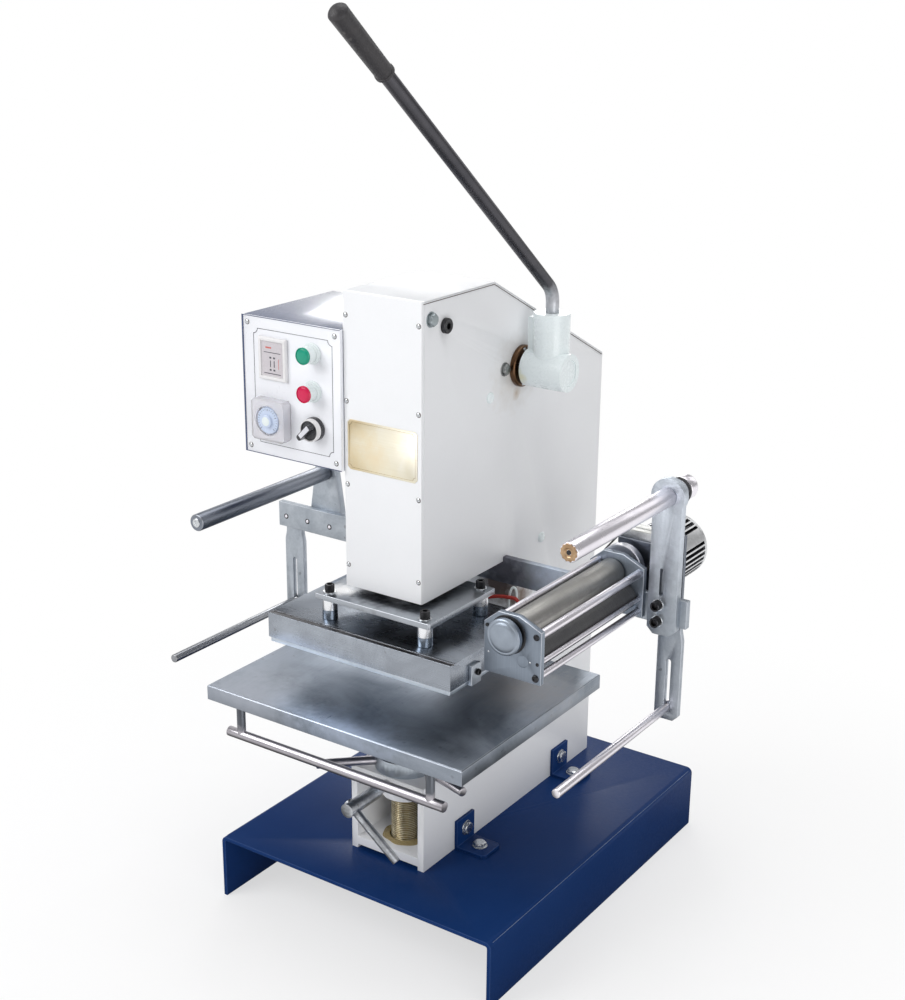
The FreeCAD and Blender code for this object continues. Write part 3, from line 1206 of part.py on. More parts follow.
# ---- all pieces ---------------------------------------------------------------------------------
def all_pieces():
    """Every node of the machine, by name."""
    return {
        "base_channel": make_base(),
        "frame_weldment": make_frame(),
        "foot_brackets": make_brackets(),
        "frame_bolts": make_bolts(),
        "front_cover": make_front_cover(),
        "top_cover": make_top_cover(),
        "nameplate": make_nameplate(),
        "shaft_bushes": make_bushes(),
        "top_pin": make_top_pin(),
        "return_spring": make_return_spring(),
        "cross_bar": make_cross_bar(),
        "arm_screws": make_arm_screws(),
        "left_arm": make_left_arm(),
        "right_arm": make_right_arm(),
        "left_drop_arm": make_drop_arm(LEFT_DROP_X),
        "right_drop_arm": make_drop_arm(RIGHT_DROP_X),
        "left_guide_rod": make_guide_rod(LEFT_DROP_X, LEFT_GUIDE_FRONT),
        "right_guide_rod": make_guide_rod(RIGHT_DROP_X, RIGHT_GUIDE_FRONT),
        "unwind_shaft": make_unwind_shaft(),
        "rewind_shaft": make_rewind_shaft(),
        "rewind_pulley": make_pulley(RIGHT_ARM_X, REWIND_Z, REWIND_PULLEY_R, REWIND_JOURNAL_R),
        "drive_belt": make_belt(),
        "feed_plates": group([make_feed_plate(FEED_FRONT), make_feed_plate(FEED_BACK)]),
        "feed_tie_rods": make_tie_rods(),
        "drive_roller": make_drive_roller(),
        "nip_roller": make_nip_roller(),
        "feed_knob": make_feed_knob(),
        "drive_pulley": make_pulley(DRIVE_X, DRIVE_Z, DRIVE_PULLEY_R, ROLLER_SHAFT_R),
        "motor_bracket": make_motor_bracket(),
        "feed_motor": make_motor(),
        "control_box": make_control_box(),
        "control_panel": make_panel(),
        "timer": make_timer(),
        "lamp_bezels": make_lamp_bezels(),
        "green_lens": make_lamp_lens(GREEN_Z),
        "red_lens": make_lamp_lens(RED_Z),
        "selector_base": make_selector_base(),
        "selector_knob": make_selector_knob(),
        "thermostat_hood": make_thermostat(),
        "thermostat_dial": make_thermostat_dial(),
        "lever_hub": make_hub(),
        "lever_rod": make_lever_rod(),
        "lever_grip": make_grip(),
        "crankshaft": make_crankshaft(),
        "connecting_link": make_connecting_link(),
        "upper_link": make_upper_link(),
        "lower_link": make_lower_link(),
        "ram": make_ram(),
        "ram_plate": make_ram_plate(),
        "standoffs": make_standoffs(),
        "ram_screws": make_ram_screws(),
        "heat_block": make_heat_block(),
        "die_plate": make_die_plate(),
        "die_latch": make_latch(),
        "work_table": make_table(),
        "height_screw": make_height_screw(),
        "front_rail": make_rail(),
        "capstan_nut": make_capstan(),
        "capstan_bars": make_capstan_bars(),
        "lock_screw": group([make_lock_screw(), make_tommy_bar()]),
    }


def main():
    """Write one STEP file per piece, with the origin on the floor under the middle of the whole."""
    os.makedirs("parts", exist_ok=True)
    pieces = all_pieces()
    tip = pieces["lever_grip"].optimalBoundingBox(False, False).YMin
    datum = V(0, (tip + BASE_BACK) / 2, 0)
    for name, shape in pieces.items():
        shape.translate(-datum)
        shape.exportStep(f"parts/{name}.step")


main()
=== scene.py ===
"""Looks of a manual hot-foil stamping press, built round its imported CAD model.

Every length in the classes is in millimetres, and y counts from the head's front face.  The helper
spot() turns such a place into the frame's metres.
"""
from __future__ import annotations

import logging
import math
from dataclasses import dataclass, field
from enum import Enum
from typing import NamedTuple, Optional, Sequence

import bmesh
import bpy
from bmesh.types import BMesh, BMFace, BMVert
from bpy.types import ID, Material, Mesh, Node, NodeSocket, NodeTree, Object
from mathutils import Matrix, Vector


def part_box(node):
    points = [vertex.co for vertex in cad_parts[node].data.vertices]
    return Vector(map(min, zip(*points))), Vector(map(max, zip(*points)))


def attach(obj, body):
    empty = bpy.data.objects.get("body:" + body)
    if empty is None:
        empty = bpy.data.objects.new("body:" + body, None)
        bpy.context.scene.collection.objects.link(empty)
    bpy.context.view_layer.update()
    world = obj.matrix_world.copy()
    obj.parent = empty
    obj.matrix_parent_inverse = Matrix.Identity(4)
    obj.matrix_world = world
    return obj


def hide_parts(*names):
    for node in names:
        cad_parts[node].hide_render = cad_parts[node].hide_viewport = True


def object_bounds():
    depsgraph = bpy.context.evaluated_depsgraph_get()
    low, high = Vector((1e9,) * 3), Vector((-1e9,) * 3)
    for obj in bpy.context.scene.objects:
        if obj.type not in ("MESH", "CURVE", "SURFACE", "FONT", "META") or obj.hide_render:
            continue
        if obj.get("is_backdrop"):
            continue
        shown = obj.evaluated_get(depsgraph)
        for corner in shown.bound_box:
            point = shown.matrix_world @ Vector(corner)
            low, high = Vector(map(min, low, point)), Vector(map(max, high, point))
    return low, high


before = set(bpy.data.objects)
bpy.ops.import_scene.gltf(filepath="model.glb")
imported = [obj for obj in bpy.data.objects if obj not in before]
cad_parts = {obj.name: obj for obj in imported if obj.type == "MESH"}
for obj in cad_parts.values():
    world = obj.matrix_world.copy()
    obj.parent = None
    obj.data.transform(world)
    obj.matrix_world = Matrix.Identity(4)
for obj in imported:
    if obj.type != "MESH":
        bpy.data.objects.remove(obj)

LOG = logging.getLogger("stamping_press")
MM = 0.001
HEAD_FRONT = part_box("front_cover")[0].y
X_AXIS, Y_AXIS, Z_AXIS = Vector((1, 0, 0)), Vector((0, 1, 0)), Vector((0, 0, 1))
TIP = 0.01            # radius that closes the middle of a turned end, in millimetres
JOINED = 1e-7         # points of a built mesh closer than this, in metres, are one point
SAME_POINT = 2e-6     # CAD points closer than this, in metres, are one point
FLAT_ANGLE = 0.5      # CAD edges flatter than this, in degrees, are dissolved
ROUNDED_ANGLE = 30.0  # CAD edges sharper than this, in degrees, are rounded
RGB = tuple[float, float, float]
Point = tuple[float, float, float]
Pairs = tuple[tuple[float, float], ...]


def spot(x: float, y: float, z: float) -> Vector:
    """Place in the frame's metres of a point in millimetres, y from the head's front face."""
    return Vector((x * MM, y * MM + HEAD_FRONT, z * MM))


class Body(Enum):
    """Moving bodies of the press."""

    FRAME = "press_frame"
    HANDLE = "handle"
    PRESS = "press_head"
    TABLE = "table"
    CAPSTAN = "capstan"
    LOCK = "table_lock"
    FEED = "feed_drive"
    NIP = "feed_nip"
    REWIND = "rewind"
    UNWIND = "unwind"
    GUIDE_LEFT = "guide_left"
    GUIDE_RIGHT = "guide_right"
    SELECTOR = "selector"
    THERMOSTAT = "thermostat"


class Lay(Enum):
    """Direction that grinding or drawing lines run in, as noise scales along x, y and z."""

    ALONG_X = (6.0, 500.0, 500.0)
    ALONG_Y = (500.0, 6.0, 500.0)
    ALONG_Z = (500.0, 500.0, 6.0)
    TURNED_Y = (40.0, 900.0, 40.0)
    TURNED_Z = (40.0, 40.0, 900.0)
    CAST = (260.0, 260.0, 260.0)


# ---- node trees ---------------------------------------------------------------------------------
class Tree:
    """Adds and links the nodes of one shader or geometry tree."""

    def __init__(self, tree: NodeTree) -> None:
        """Wraps a tree."""
        self.tree = tree

    def add(self, kind: str, inputs: Optional[dict] = None, **settings: object) -> Node:
        """Adds a node.

        Args:
            kind: The node's type name.
            inputs: Values or sockets for its inputs, by name or index.
            settings: Attributes of the node.

        Returns:
            The node.
        """
        node = self.tree.nodes.new(kind)
        for key, value in settings.items():
            setattr(node, key, value)
        for key, value in (inputs or {}).items():
            if isinstance(value, NodeSocket):
                self.tree.links.new(value, node.inputs[key])
            else:
                node.inputs[key].default_value = value
        return node

    def math(self, operation: str, first: object, second: object = 0.0) -> NodeSocket:
        """Returns the result socket of one Math node."""
        return self.add("ShaderNodeMath", {0: first, 1: second}, operation=operation).outputs[0]

    def mix(self, factor: object, first: object, second: object) -> NodeSocket:
        """Returns the colour socket of a Mix node."""
        return self.add("ShaderNodeMix", {0: factor, 6: first, 7: second}, data_type="RGBA").outputs[2]

    def ranged(self, value: object, low: float, high: float, to_low: float = 0.0,
               to_high: float = 1.0) -> NodeSocket:
        """Returns a value mapped from one range to another, clamped."""
        inputs = {0: value, 1: low, 2: high, 3: to_low, 4: to_high}
        return self.add("ShaderNodeMapRange", inputs).outputs[0]

    def here(self) -> NodeSocket:
        """Returns the socket of the object's own coordinates."""
        return self.add("ShaderNodeTexCoord").outputs["Object"]

    def vector(self, operation: str, **inputs: object) -> Node:
        """Returns a Vector Math node with the inputs a, b and c."""
        given = {"abc".index(key): value for key, value in inputs.items()}
        return self.add("ShaderNodeVectorMath", given, operation=operation)

    def noise(self, place: object, scale: float, detail: float, **more: float) -> Node:
        """Returns a Noise Texture node; more holds its other inputs."""
        return self.add("ShaderNodeTexNoise", {"Vector": place, "Scale": scale, "Detail": detail, **more})

    def close(self, mask: NodeSocket, out: Node) -> NodeTree:
        """Ends a group in a mask and returns it."""
        self.tree.links.new(mask, out.inputs[0])
        return self.tree

    def place(self, group: NodeTree, **values: object) -> NodeSocket:
        """Places a node group with its own values and returns its first output."""
        return self.add("ShaderNodeGroup", values, node_tree=group).outputs[0]


def open_group(name: str, **inputs: object) -> tuple[Tree, Sequence[NodeSocket], Node]:
    """Starts a shader node group that puts out a mask.

    Args:
        name: Name of the group.
        inputs: Default of each input, by name.

    Returns:
        The tree, the sockets that its input node gives, and its output node.
    """
    group = bpy.data.node_groups.new(name, "ShaderNodeTree")
    for title, default in inputs.items():
        kind = "NodeSocketVector" if isinstance(default, tuple) else "NodeSocketFloat"
        group.interface.new_socket(title, in_out="INPUT", socket_type=kind).default_value = default
    group.interface.new_socket("Mask", in_out="OUTPUT", socket_type="NodeSocketFloat")
    tree = Tree(group)
    return tree, tree.add("NodeGroupInput").outputs, tree.add("NodeGroupOutput")


SPECKLESS = 0.72  # share of the cells that hold no speck
RAGGED = 0.9      # depth of a round patch's ragged edge, in radii


class Effects:
    """Shader node groups that several finishes share, each built once."""

    def __init__(self) -> None:
        """Builds the groups."""
        self.clouds = self._clouds()
        self.lines = self._lines()
        self.specks = self._specks()
        self.stain = self._stain_and_painted_light()

    @staticmethod
    def _clouds() -> NodeTree:
        """Soft blotches, as a mask from 0 to 1."""
        tree, given, out = open_group("blotches", Scale=10.0, Contrast=0.3)
        wide = tree.noise(tree.here(), given["Scale"], 5.0, Roughness=0.62, Distortion=0.6)
        low = tree.math("SUBTRACT", 0.5, given["Contrast"])
        high = tree.math("ADD", 0.5, given["Contrast"])
        return tree.close(tree.ranged(wide.outputs["Fac"], low, high), out)

    @staticmethod
    def _lines() -> NodeTree:
        """Fine lines stretched along one direction, as a mask from 0 to 1."""
        tree, given, out = open_group("tool_lines", Stretch=(1.0, 1.0, 1.0))
        place = tree.vector("MULTIPLY", a=tree.here(), b=given["Stretch"])
        noise = tree.noise(place.outputs[0], 1.0, 3.0, Roughness=0.7)
        return tree.close(tree.ranged(noise.outputs["Fac"], 0.3, 0.7), out)

    @staticmethod
    def _specks() -> NodeTree:
        """Small scattered dots, as a mask from 0 to 1."""
        tree, given, out = open_group("specks", Scale=60.0, Size=0.1)
        coords = tree.here()
        bend = tree.noise(coords, 220.0, 2.0)
        moved = tree.vector("MULTIPLY_ADD", a=bend.outputs["Color"], b=(0.004, 0.004, 0.004), c=coords)
        cells = tree.add("ShaderNodeTexVoronoi", {"Vector": moved.outputs[0], "Scale": given["Scale"]})
        few = tree.add("ShaderNodeSeparateColor", {0: cells.outputs["Color"]}).outputs[0]
        near = tree.math("LESS_THAN", cells.outputs["Distance"], given["Size"])
        rare = tree.math("GREATER_THAN", few, SPECKLESS)
        return tree.close(tree.math("MULTIPLY", near, rare), out)

    @staticmethod
    def _stain_and_painted_light() -> NodeTree:
        """Ragged round patch for stains and painted light, as a mask from 1 at the middle to 0."""
        tree, given, out = open_group("stain", Centre=(0.0, 0.0, 0.0), Radius=0.02, Core=0.5)
        coords = tree.here()
        gap = tree.vector("DISTANCE", a=coords, b=given["Centre"])
        share = tree.math("DIVIDE", gap.outputs["Value"], given["Radius"])
        ragged = tree.noise(coords, 90.0, 4.0)
        edge = tree.math("MULTIPLY_ADD", ragged.outputs["Fac"], RAGGED)
        edge.node.inputs[2].default_value = -RAGGED / 2
        return tree.close(tree.ranged(tree.math("ADD", share, edge), given["Core"], 1.0, 1.0, 0.0), out)


DARKER = 0.55                         # colour in a tool line, as a share of the finish's own
SPECK_SCALE, SPECK_SIZE = 70.0, 0.16  # cells in a metre, and radius in cells
CLOUD_ROUGH, LINE_ROUGH, LEAST_ROUGH = 0.35, 0.3, 0.75  # shares of the finish's roughness
RELIEF = 0.0006                       # height of the tool lines, in metres
CLOUD_RELIEF = 0.5                    # height of the blotches, as a share of the lines'
COAT_ROUGH, CLEAR_IOR = 0.12, 1.3     # roughness of an enamel's coat, refraction of the clear plastic


@dataclass(frozen=True)
class StainAndLight:
    """A round patch on a finish: a real stain, painted shade or a painted highlight."""

    centre: Point
    radius: float
    colour: RGB
    core: float = 0.35


@dataclass(frozen=True)
class Finish:
    """What every finish has: a name, a slot name, a colour and how it varies."""

    name: str
    slot: str
    colour: RGB
    roughness: float = 0.4
    cloud_colour: RGB = (0.5, 0.5, 0.5)
    cloud_share: float = 0.15
    cloud_scale: float = 9.0
    edge_colour: RGB = (0.7, 0.7, 0.7)
    edge_share: float = 0.0
    bump: float = 0.1
    line_share: float = 0.1
    lay: Lay = Lay.CAST
    spread: float = 0.2
    speck: Optional[tuple[RGB, float]] = None
    stains_and_light: tuple[StainAndLight, ...] = ()
    edge_floor: float = 0.4

    def settings(self) -> dict:
        """Plain values for the shader's own sockets."""
        return {}

    def material(self, effects: Effects) -> Material:
        """Builds the material.

        Args:
            effects: The shared node groups.

        Returns:
            The material.
        """
        made = bpy.data.materials.new(self.name)
        made.use_nodes = True
        made.node_tree.nodes.clear()
        tree = Tree(made.node_tree)
        output = tree.add("ShaderNodeOutputMaterial")
        shader = tree.add("ShaderNodeBsdfPrincipled", self.settings())
        clouds = tree.place(effects.clouds, Scale=self.cloud_scale, Contrast=self.spread)
        lines = tree.place(effects.lines, Stretch=self.lay.value)
        colour = (*self.colour, 1.0)
        dark = tuple(DARKER * part for part in self.colour)
        layers = [(tree.math("MULTIPLY", clouds, self.cloud_share), self.cloud_colour),
                  (tree.math("MULTIPLY", lines, self.line_share), dark)]
        if self.speck:
            specks = tree.place(effects.specks, Scale=SPECK_SCALE, Size=SPECK_SIZE)
            layers.append((tree.math("MULTIPLY", specks, self.speck[1]), self.speck[0]))
        # lighter rounded edges: wear on most finishes, a painted highlight on the bush's rim, and the
        # motor's bright ribs beside painted-dark grooves
        if self.edge_share:
            edge = tree.add("ShaderNodeAttribute", attribute_name="edge").outputs["Fac"]
            edge_wear_and_light = tree.math("MULTIPLY", edge, tree.ranged(lines, 0.1, 0.9, self.edge_floor, 1.0))
            layers.append((tree.math("MULTIPLY", edge_wear_and_light, self.edge_share), self.edge_colour))
        # round patches: real stains, and also painted shadows, highlights and reflections
        for tone_patch in self.stains_and_light:
            layers.append((tree.place(effects.stain, Centre=spot(*tone_patch.centre), Radius=tone_patch.radius * MM,
                                      Core=tone_patch.core), tone_patch.colour))
        for mask, other in layers:
            colour = tree.mix(mask, colour, (*other, 1.0))
        rough = tree.math("ADD", tree.math("MULTIPLY", clouds, CLOUD_ROUGH * self.roughness),
                          tree.math("MULTIPLY", lines, LINE_ROUGH * self.roughness))
        rough = tree.math("ADD", rough, LEAST_ROUGH * self.roughness)
        height = tree.math("ADD", lines, tree.math("MULTIPLY", clouds, CLOUD_RELIEF))
        relief = tree.add("ShaderNodeBump", {"Strength": self.bump, "Distance": RELIEF, "Height": height})
        for result, name in ((colour, "Base Color"), (rough, "Roughness"), (relief.outputs[0], "Normal")):
            made.node_tree.links.new(result, shader.inputs[name])
        made.node_tree.links.new(shader.outputs[0], output.inputs[0])
        return made


@dataclass(frozen=True)
class Enamel(Finish):
    """Sprayed enamel on metal."""

    coat: float = 0.1
    gloss: float = 0.4

    def settings(self) -> dict:
        """Dielectric with a clear coat."""
        return {"Metallic": 0.0, "Coat Weight": self.coat, "Coat Roughness": COAT_ROUGH,
                "Specular IOR Level": self.gloss}


@dataclass(frozen=True)
class BareMetal(Finish):
    """Steel, aluminium, brass or chrome."""

    def settings(self) -> dict:
        """A conductor."""
        return {"Metallic": 1.0}


@dataclass(frozen=True)
class Moulded(Finish):
    """Plastic or rubber."""

    gloss: float = 0.5

    def settings(self) -> dict:
        """A dielectric."""
        return {"Metallic": 0.0, "Specular IOR Level": self.gloss}


@dataclass(frozen=True)
class ClearPlastic(Finish):
    """Transparent moulding."""

    clear: float = 0.62

    def settings(self) -> dict:
        """Thin clear plastic."""
        return {"Metallic": 0.0, "Transmission Weight": self.clear, "IOR": CLEAR_IOR}


# ---- meshes -------------------------------------------------------------------------------------
class Shape(Enum):
    """Cross-section of a turned ring."""

    ROUND = "round"
    HEXAGON = "hexagon"
    KNURLED = "knurled"
    SCALLOPED = "scalloped"
    BLOT = "blot"


@dataclass(frozen=True)
class Ring:
    """One ring of a turned piece: height along the axis and radius, in millimetres."""

    height: float
    radius: float
    shape: Shape = Shape.ROUND

    def reach(self, angle: float) -> float:
        """Distance from the axis to the outline.

        Args:
            angle: Direction in radians.

        Returns:
            The distance in metres.
        """
        size = self.radius * MM
        if self.shape is Shape.HEXAGON:
            sector = (math.degrees(angle) + 30.0) % 60.0 - 30.0
            return size / math.cos(math.radians(sector))
        if self.shape is Shape.BLOT:
            return size * (1.0 + 0.05 * math.sin(3.0 * angle + 0.7) + 0.03 * math.sin(7.0 * angle + 2.1))
        depth, teeth = TEETH.get(self.shape, (0.0, 0.0))
        return size - depth * (1.0 + math.cos(teeth * angle))


HEX = Shape.HEXAGON
TEETH = {Shape.KNURLED: (0.0003, 36.0), Shape.SCALLOPED: (0.0008, 12.0)}  # depth in metres, teeth


class Extent(NamedTuple):
    """Lowest and highest corner of a CAD node, or of one solid of it."""

    low: Vector
    high: Vector

    @property
    def middle(self) -> Vector:
        """Middle of the box."""
        return (self.low + self.high) / 2

    @property
    def radius(self) -> float:
        """Half its width, in millimetres."""
        return (self.high.x - self.low.x) / MM / 2

    @property
    def deep(self) -> float:
        """Its size from front to back, in millimetres."""
        return (self.high.y - self.low.y) / MM

    @property
    def tall(self) -> float:
        """Its height, in millimetres."""
        return (self.high.z - self.low.z) / MM

    def on(self, axis: int, place: float) -> Vector:
        """Middle of the box, moved along one axis.

        Args:
            axis: 0, 1 or 2 for x, y or z.
            place: Where it goes along that axis, in metres.

        Returns:
            The point.
        """
        middle = [(low + high) / 2 for low, high in zip(self.low, self.high)]
        middle[axis] = place
        return Vector(middle)

    @property
    def front(self) -> Vector:
        """Middle of its front face."""
        return self.on(1, self.low.y)

    @property
    def back(self) -> Vector:
        """Middle of its back face."""
        return self.on(1, self.high.y)

    @property
    def bottom(self) -> Vector:
        """Middle of its lower face."""
        return self.on(2, self.low.z)


def linked(name: str, data: Optional[ID] = None) -> Object:
    """Puts data into the scene as an object.

    Args:
        name: Name of the object.
        data: What it shows, or nothing for an empty mesh.

    Returns:
        The object.
    """
    made = bpy.data.objects.new(name, bpy.data.meshes.new(name) if data is None else data)
    bpy.context.collection.objects.link(made)
    return made


def smooth_faces(data: Mesh, sharp: float) -> None:
    """Smooths a mesh but for the edges sharper than so many degrees."""
    data.shade_smooth()
    data.set_sharp_from_angle(angle=math.radians(sharp))


def finished(name: str, mesh: BMesh, smooth: float = 35.0) -> Object:
    """Turns a bmesh into an object with outward, smooth normals.

    Args:
        name: Name of the object.
        mesh: The bmesh, which is freed.
        smooth: Edges sharper than this many degrees stay sharp.

    Returns:
        The object, linked to the scene.
    """
    bmesh.ops.remove_doubles(mesh, verts=mesh.verts, dist=JOINED)
    bmesh.ops.recalc_face_normals(mesh, faces=mesh.faces)
    data = bpy.data.meshes.new(name)
    mesh.to_mesh(data)
    mesh.free()
    smooth_faces(data, smooth)
    return linked(name, data)


def turned(name: str, rows: Sequence[tuple], place: Vector = Vector(), axis: Vector = Z_AXIS,
           steps: int = 64) -> Object:
    """Builds a turned piece from a stack of rings; its ends are closed.

    Args:
        name: Name of the object.
        rows: Height, radius and, where it isn't round, shape of each ring along the axis.
        place: Foot of the axis, in metres.
        axis: Direction of the axis.
        steps: Points in each ring.

    Returns:
        The object.
    """
    mesh = bmesh.new()
    frame_of_axis = Matrix.Translation(place) @ axis.to_track_quat("Z", "Y").to_matrix().to_4x4()
    loops = []
    for ring in (Ring(*row) for row in rows):
        corners = []
        for index in range(steps):
            angle = 2.0 * math.pi * index / steps
            reach = ring.reach(angle)
            local = Vector((reach * math.cos(angle), reach * math.sin(angle), ring.height * MM))
            corners.append(mesh.verts.new(frame_of_axis @ local))
        loops.append(corners)
    for lower, upper in zip(loops, loops[1:]):
        for index in range(steps):
            after = (index + 1) % steps
            mesh.faces.new((lower[index], lower[after], upper[after], upper[index]))
    mesh.faces.new(list(reversed(loops[0])))
    mesh.faces.new(loops[-1])
    return finished(name, mesh)


def raise_faces(mesh: BMesh, faces: Sequence[BMFace], rise: Vector) -> None:
    """Extrudes faces of a bmesh.

    Args:
        mesh: The bmesh.
        faces: The faces.
        rise: How far they move, in metres.
    """
    grown = bmesh.ops.extrude_face_region(mesh, geom=list(faces))["geom"]
    moved = [part for part in grown if isinstance(part, BMVert)]
    bmesh.ops.translate(mesh, verts=moved, vec=rise)


def slabs(name: str, outlines: Sequence[Sequence[Vector]], rise: Vector, bevel: float = 0.0) -> Object:
    """Builds plates from flat outlines, as one piece.

    Args:
        name: Name of the object.
        outlines: The outlines.
        rise: Thickness as a vector.
        bevel: Width of the rounded edges in millimetres.

    Returns:
        The object.
    """
    mesh = bmesh.new()
    for corners in outlines:
        raise_faces(mesh, [mesh.faces.new([mesh.verts.new(corner) for corner in corners])], rise)
    if bevel:
        bmesh.ops.bevel(mesh, geom=list(mesh.edges), offset=bevel * MM, segments=2, affect="EDGES",
                        profile=0.5)
    return finished(name, mesh)


def slab(name: str, corners: Sequence[Vector], rise: Vector, bevel: float = 0.0) -> Object:
    """Builds one plate from a flat outline, as slabs() does."""
    return slabs(name, [corners], rise, bevel)


def upright(x0: float, x1: float, z0: float, z1: float, y: float) -> list[Vector]:
    """Corners of a rectangle in a plane of constant y, in metres."""
    return [Vector((x, y, z)) for x, z in ((x0, z0), (x1, z0), (x1, z1), (x0, z1))]


def around(x: float, z: float, wide: float, tall: float, y: float) -> list[Vector]:
    """Corners of a rectangle in a plane of constant y, from its middle and half sizes."""
    return upright(x - wide, x + wide, z - tall, z + tall, y)


def level(x0: float, x1: float, y0: float, y1: float, z: float) -> list[Vector]:
    """Corners of a rectangle in a plane of constant z, in metres."""
    return [Vector((x, y, z)) for x, y in ((x0, y0), (x1, y0), (x1, y1), (x0, y1))]


def notched(x0: float, x1: float, z0: float, z1: float, y: float, cut: float) -> list[Vector]:
    """Closed outline in a plane of constant y, with its corners scooped inwards.

    Args:
        x0: Left side.
        x1: Right side.
        z0: Lower side.
        z1: Upper side.
        y: The plane.
        cut: Radius of the scooped corners.

    Returns:
        The points, in metres.
    """
    points = []
    for x, z, start in ((x0, z0, 90.0), (x1, z0, 180.0), (x1, z1, 270.0), (x0, z1, 0.0)):
        for step in range(7):
            angle = math.radians(start - 15.0 * step)
            points.append(Vector((x + cut * math.cos(angle), y, z + cut * math.sin(angle))))
    return points


def smoothed(knots: Sequence[Point], steps: int = 8) -> list[Point]:
    """Runs a smooth curve through knots.

    Args:
        knots: The points that it passes.
        steps: Points on each stretch.

    Returns:
        The curve's points.
    """
    ends = [Vector(knot) for knot in (knots[0], *knots, knots[-1])]
    points = []
    for index in range(len(knots) - 1):
        before, start, end, after = ends[index:index + 4]
        for step in range(steps):
            share = step / steps
            points.append(tuple(0.5 * (2 * start + (end - before) * share
                                       + (2 * before - 5 * start + 4 * end - after) * share ** 2
                                       + (3 * start - before - 3 * end + after) * share ** 3)))
    points.append(tuple(ends[-1]))
    return points


def plain(made: Object) -> Object:
    """Bakes an object's modifiers into its mesh and removes them.

    Args:
        made: The object.

    Returns:
        The same object.
    """
    seen = made.evaluated_get(bpy.context.evaluated_depsgraph_get())
    data = bpy.data.meshes.new_from_object(seen)
    made.modifiers.clear()
    made.data = data
    return made


def welded(node: str) -> BMesh:
    """Reads a CAD node with its double points joined.

    Args:
        node: Name of the node.

    Returns:
        Its mesh as a bmesh.
    """
    mesh = bmesh.new()
    mesh.from_mesh(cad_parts[node].data)
    bmesh.ops.remove_doubles(mesh, verts=mesh.verts, dist=SAME_POINT)
    return mesh


def refined(node: str, width: float, steps: int) -> Object:
    """Copies a CAD node with its sharp edges rounded and its round walls smooth.

    Args:
        node: Name of the node.
        width: Width of the rounding in millimetres.
        steps: Segments of the rounding.

    Returns:
        The copy, with the rounded edges marked in the attribute "edge".
    """
    mesh = welded(node)
    bmesh.ops.dissolve_limit(mesh, angle_limit=math.radians(FLAT_ANGLE), verts=mesh.verts, edges=mesh.edges)
    data = bpy.data.meshes.new(node + "_dressed")
    mesh.to_mesh(data)
    mesh.free()
    data.shade_smooth()
    data.materials.clear()
    data.materials.append(None)
    data.materials.append(None)
    data.polygons.foreach_set("material_index", [0] * len(data.polygons))
    made = linked(node + "_dressed", data)
    rounding = made.modifiers.new("rounding", "BEVEL")
    for key, value in (("width", width * MM), ("segments", steps), ("limit_method", "ANGLE"),
                       ("angle_limit", math.radians(ROUNDED_ANGLE)), ("harden_normals", True),
                       ("material", 1)):
        setattr(rounding, key, value)
    plain(made)
    marks = [float(face.material_index) for face in made.data.polygons]
    made.data.attributes.new("edge", "FLOAT", "FACE").data.foreach_set("value", marks)
    made.data.polygons.foreach_set("material_index", [0] * len(marks))
    made.data.materials.clear()
    return made


def lumps(node: str) -> list[Extent]:
    """Finds the separate solids of a CAD node.

    Args:
        node: Name of the node.

    Returns:
        Their boxes, from left to right.
    """
    mesh = welded(node)
    left = set(mesh.verts)
    found = []
    while left:
        queue = [left.pop()]
        members = []
        while queue:
            vert = queue.pop()
            members.append(vert.co.copy())
            for edge in vert.link_edges:
                other = edge.other_vert(vert)
                if other in left:
                    left.remove(other)
                    queue.append(other)
        found.append(Extent(Vector(map(min, *members)), Vector(map(max, *members))))
    mesh.free()
    return sorted(found, key=lambda solid: tuple(solid.low))


# ---- geometry nodes -----------------------------------------------------------------------------
@dataclass(frozen=True)
class Seat:
    """Where one copy of a repeated piece sits."""

    place: Vector
    aim: Vector
    size: float = 1.0
    spin: float = 0.0


THREAD_SIDES, THREAD_ROWS = 56, 8.0  # points round a thread, and rows in each turn
CREST, ROOT = 0.12, 0.38             # where a thread's flank starts and ends, in turns
LINE_SIDES = 10                      # points round a line


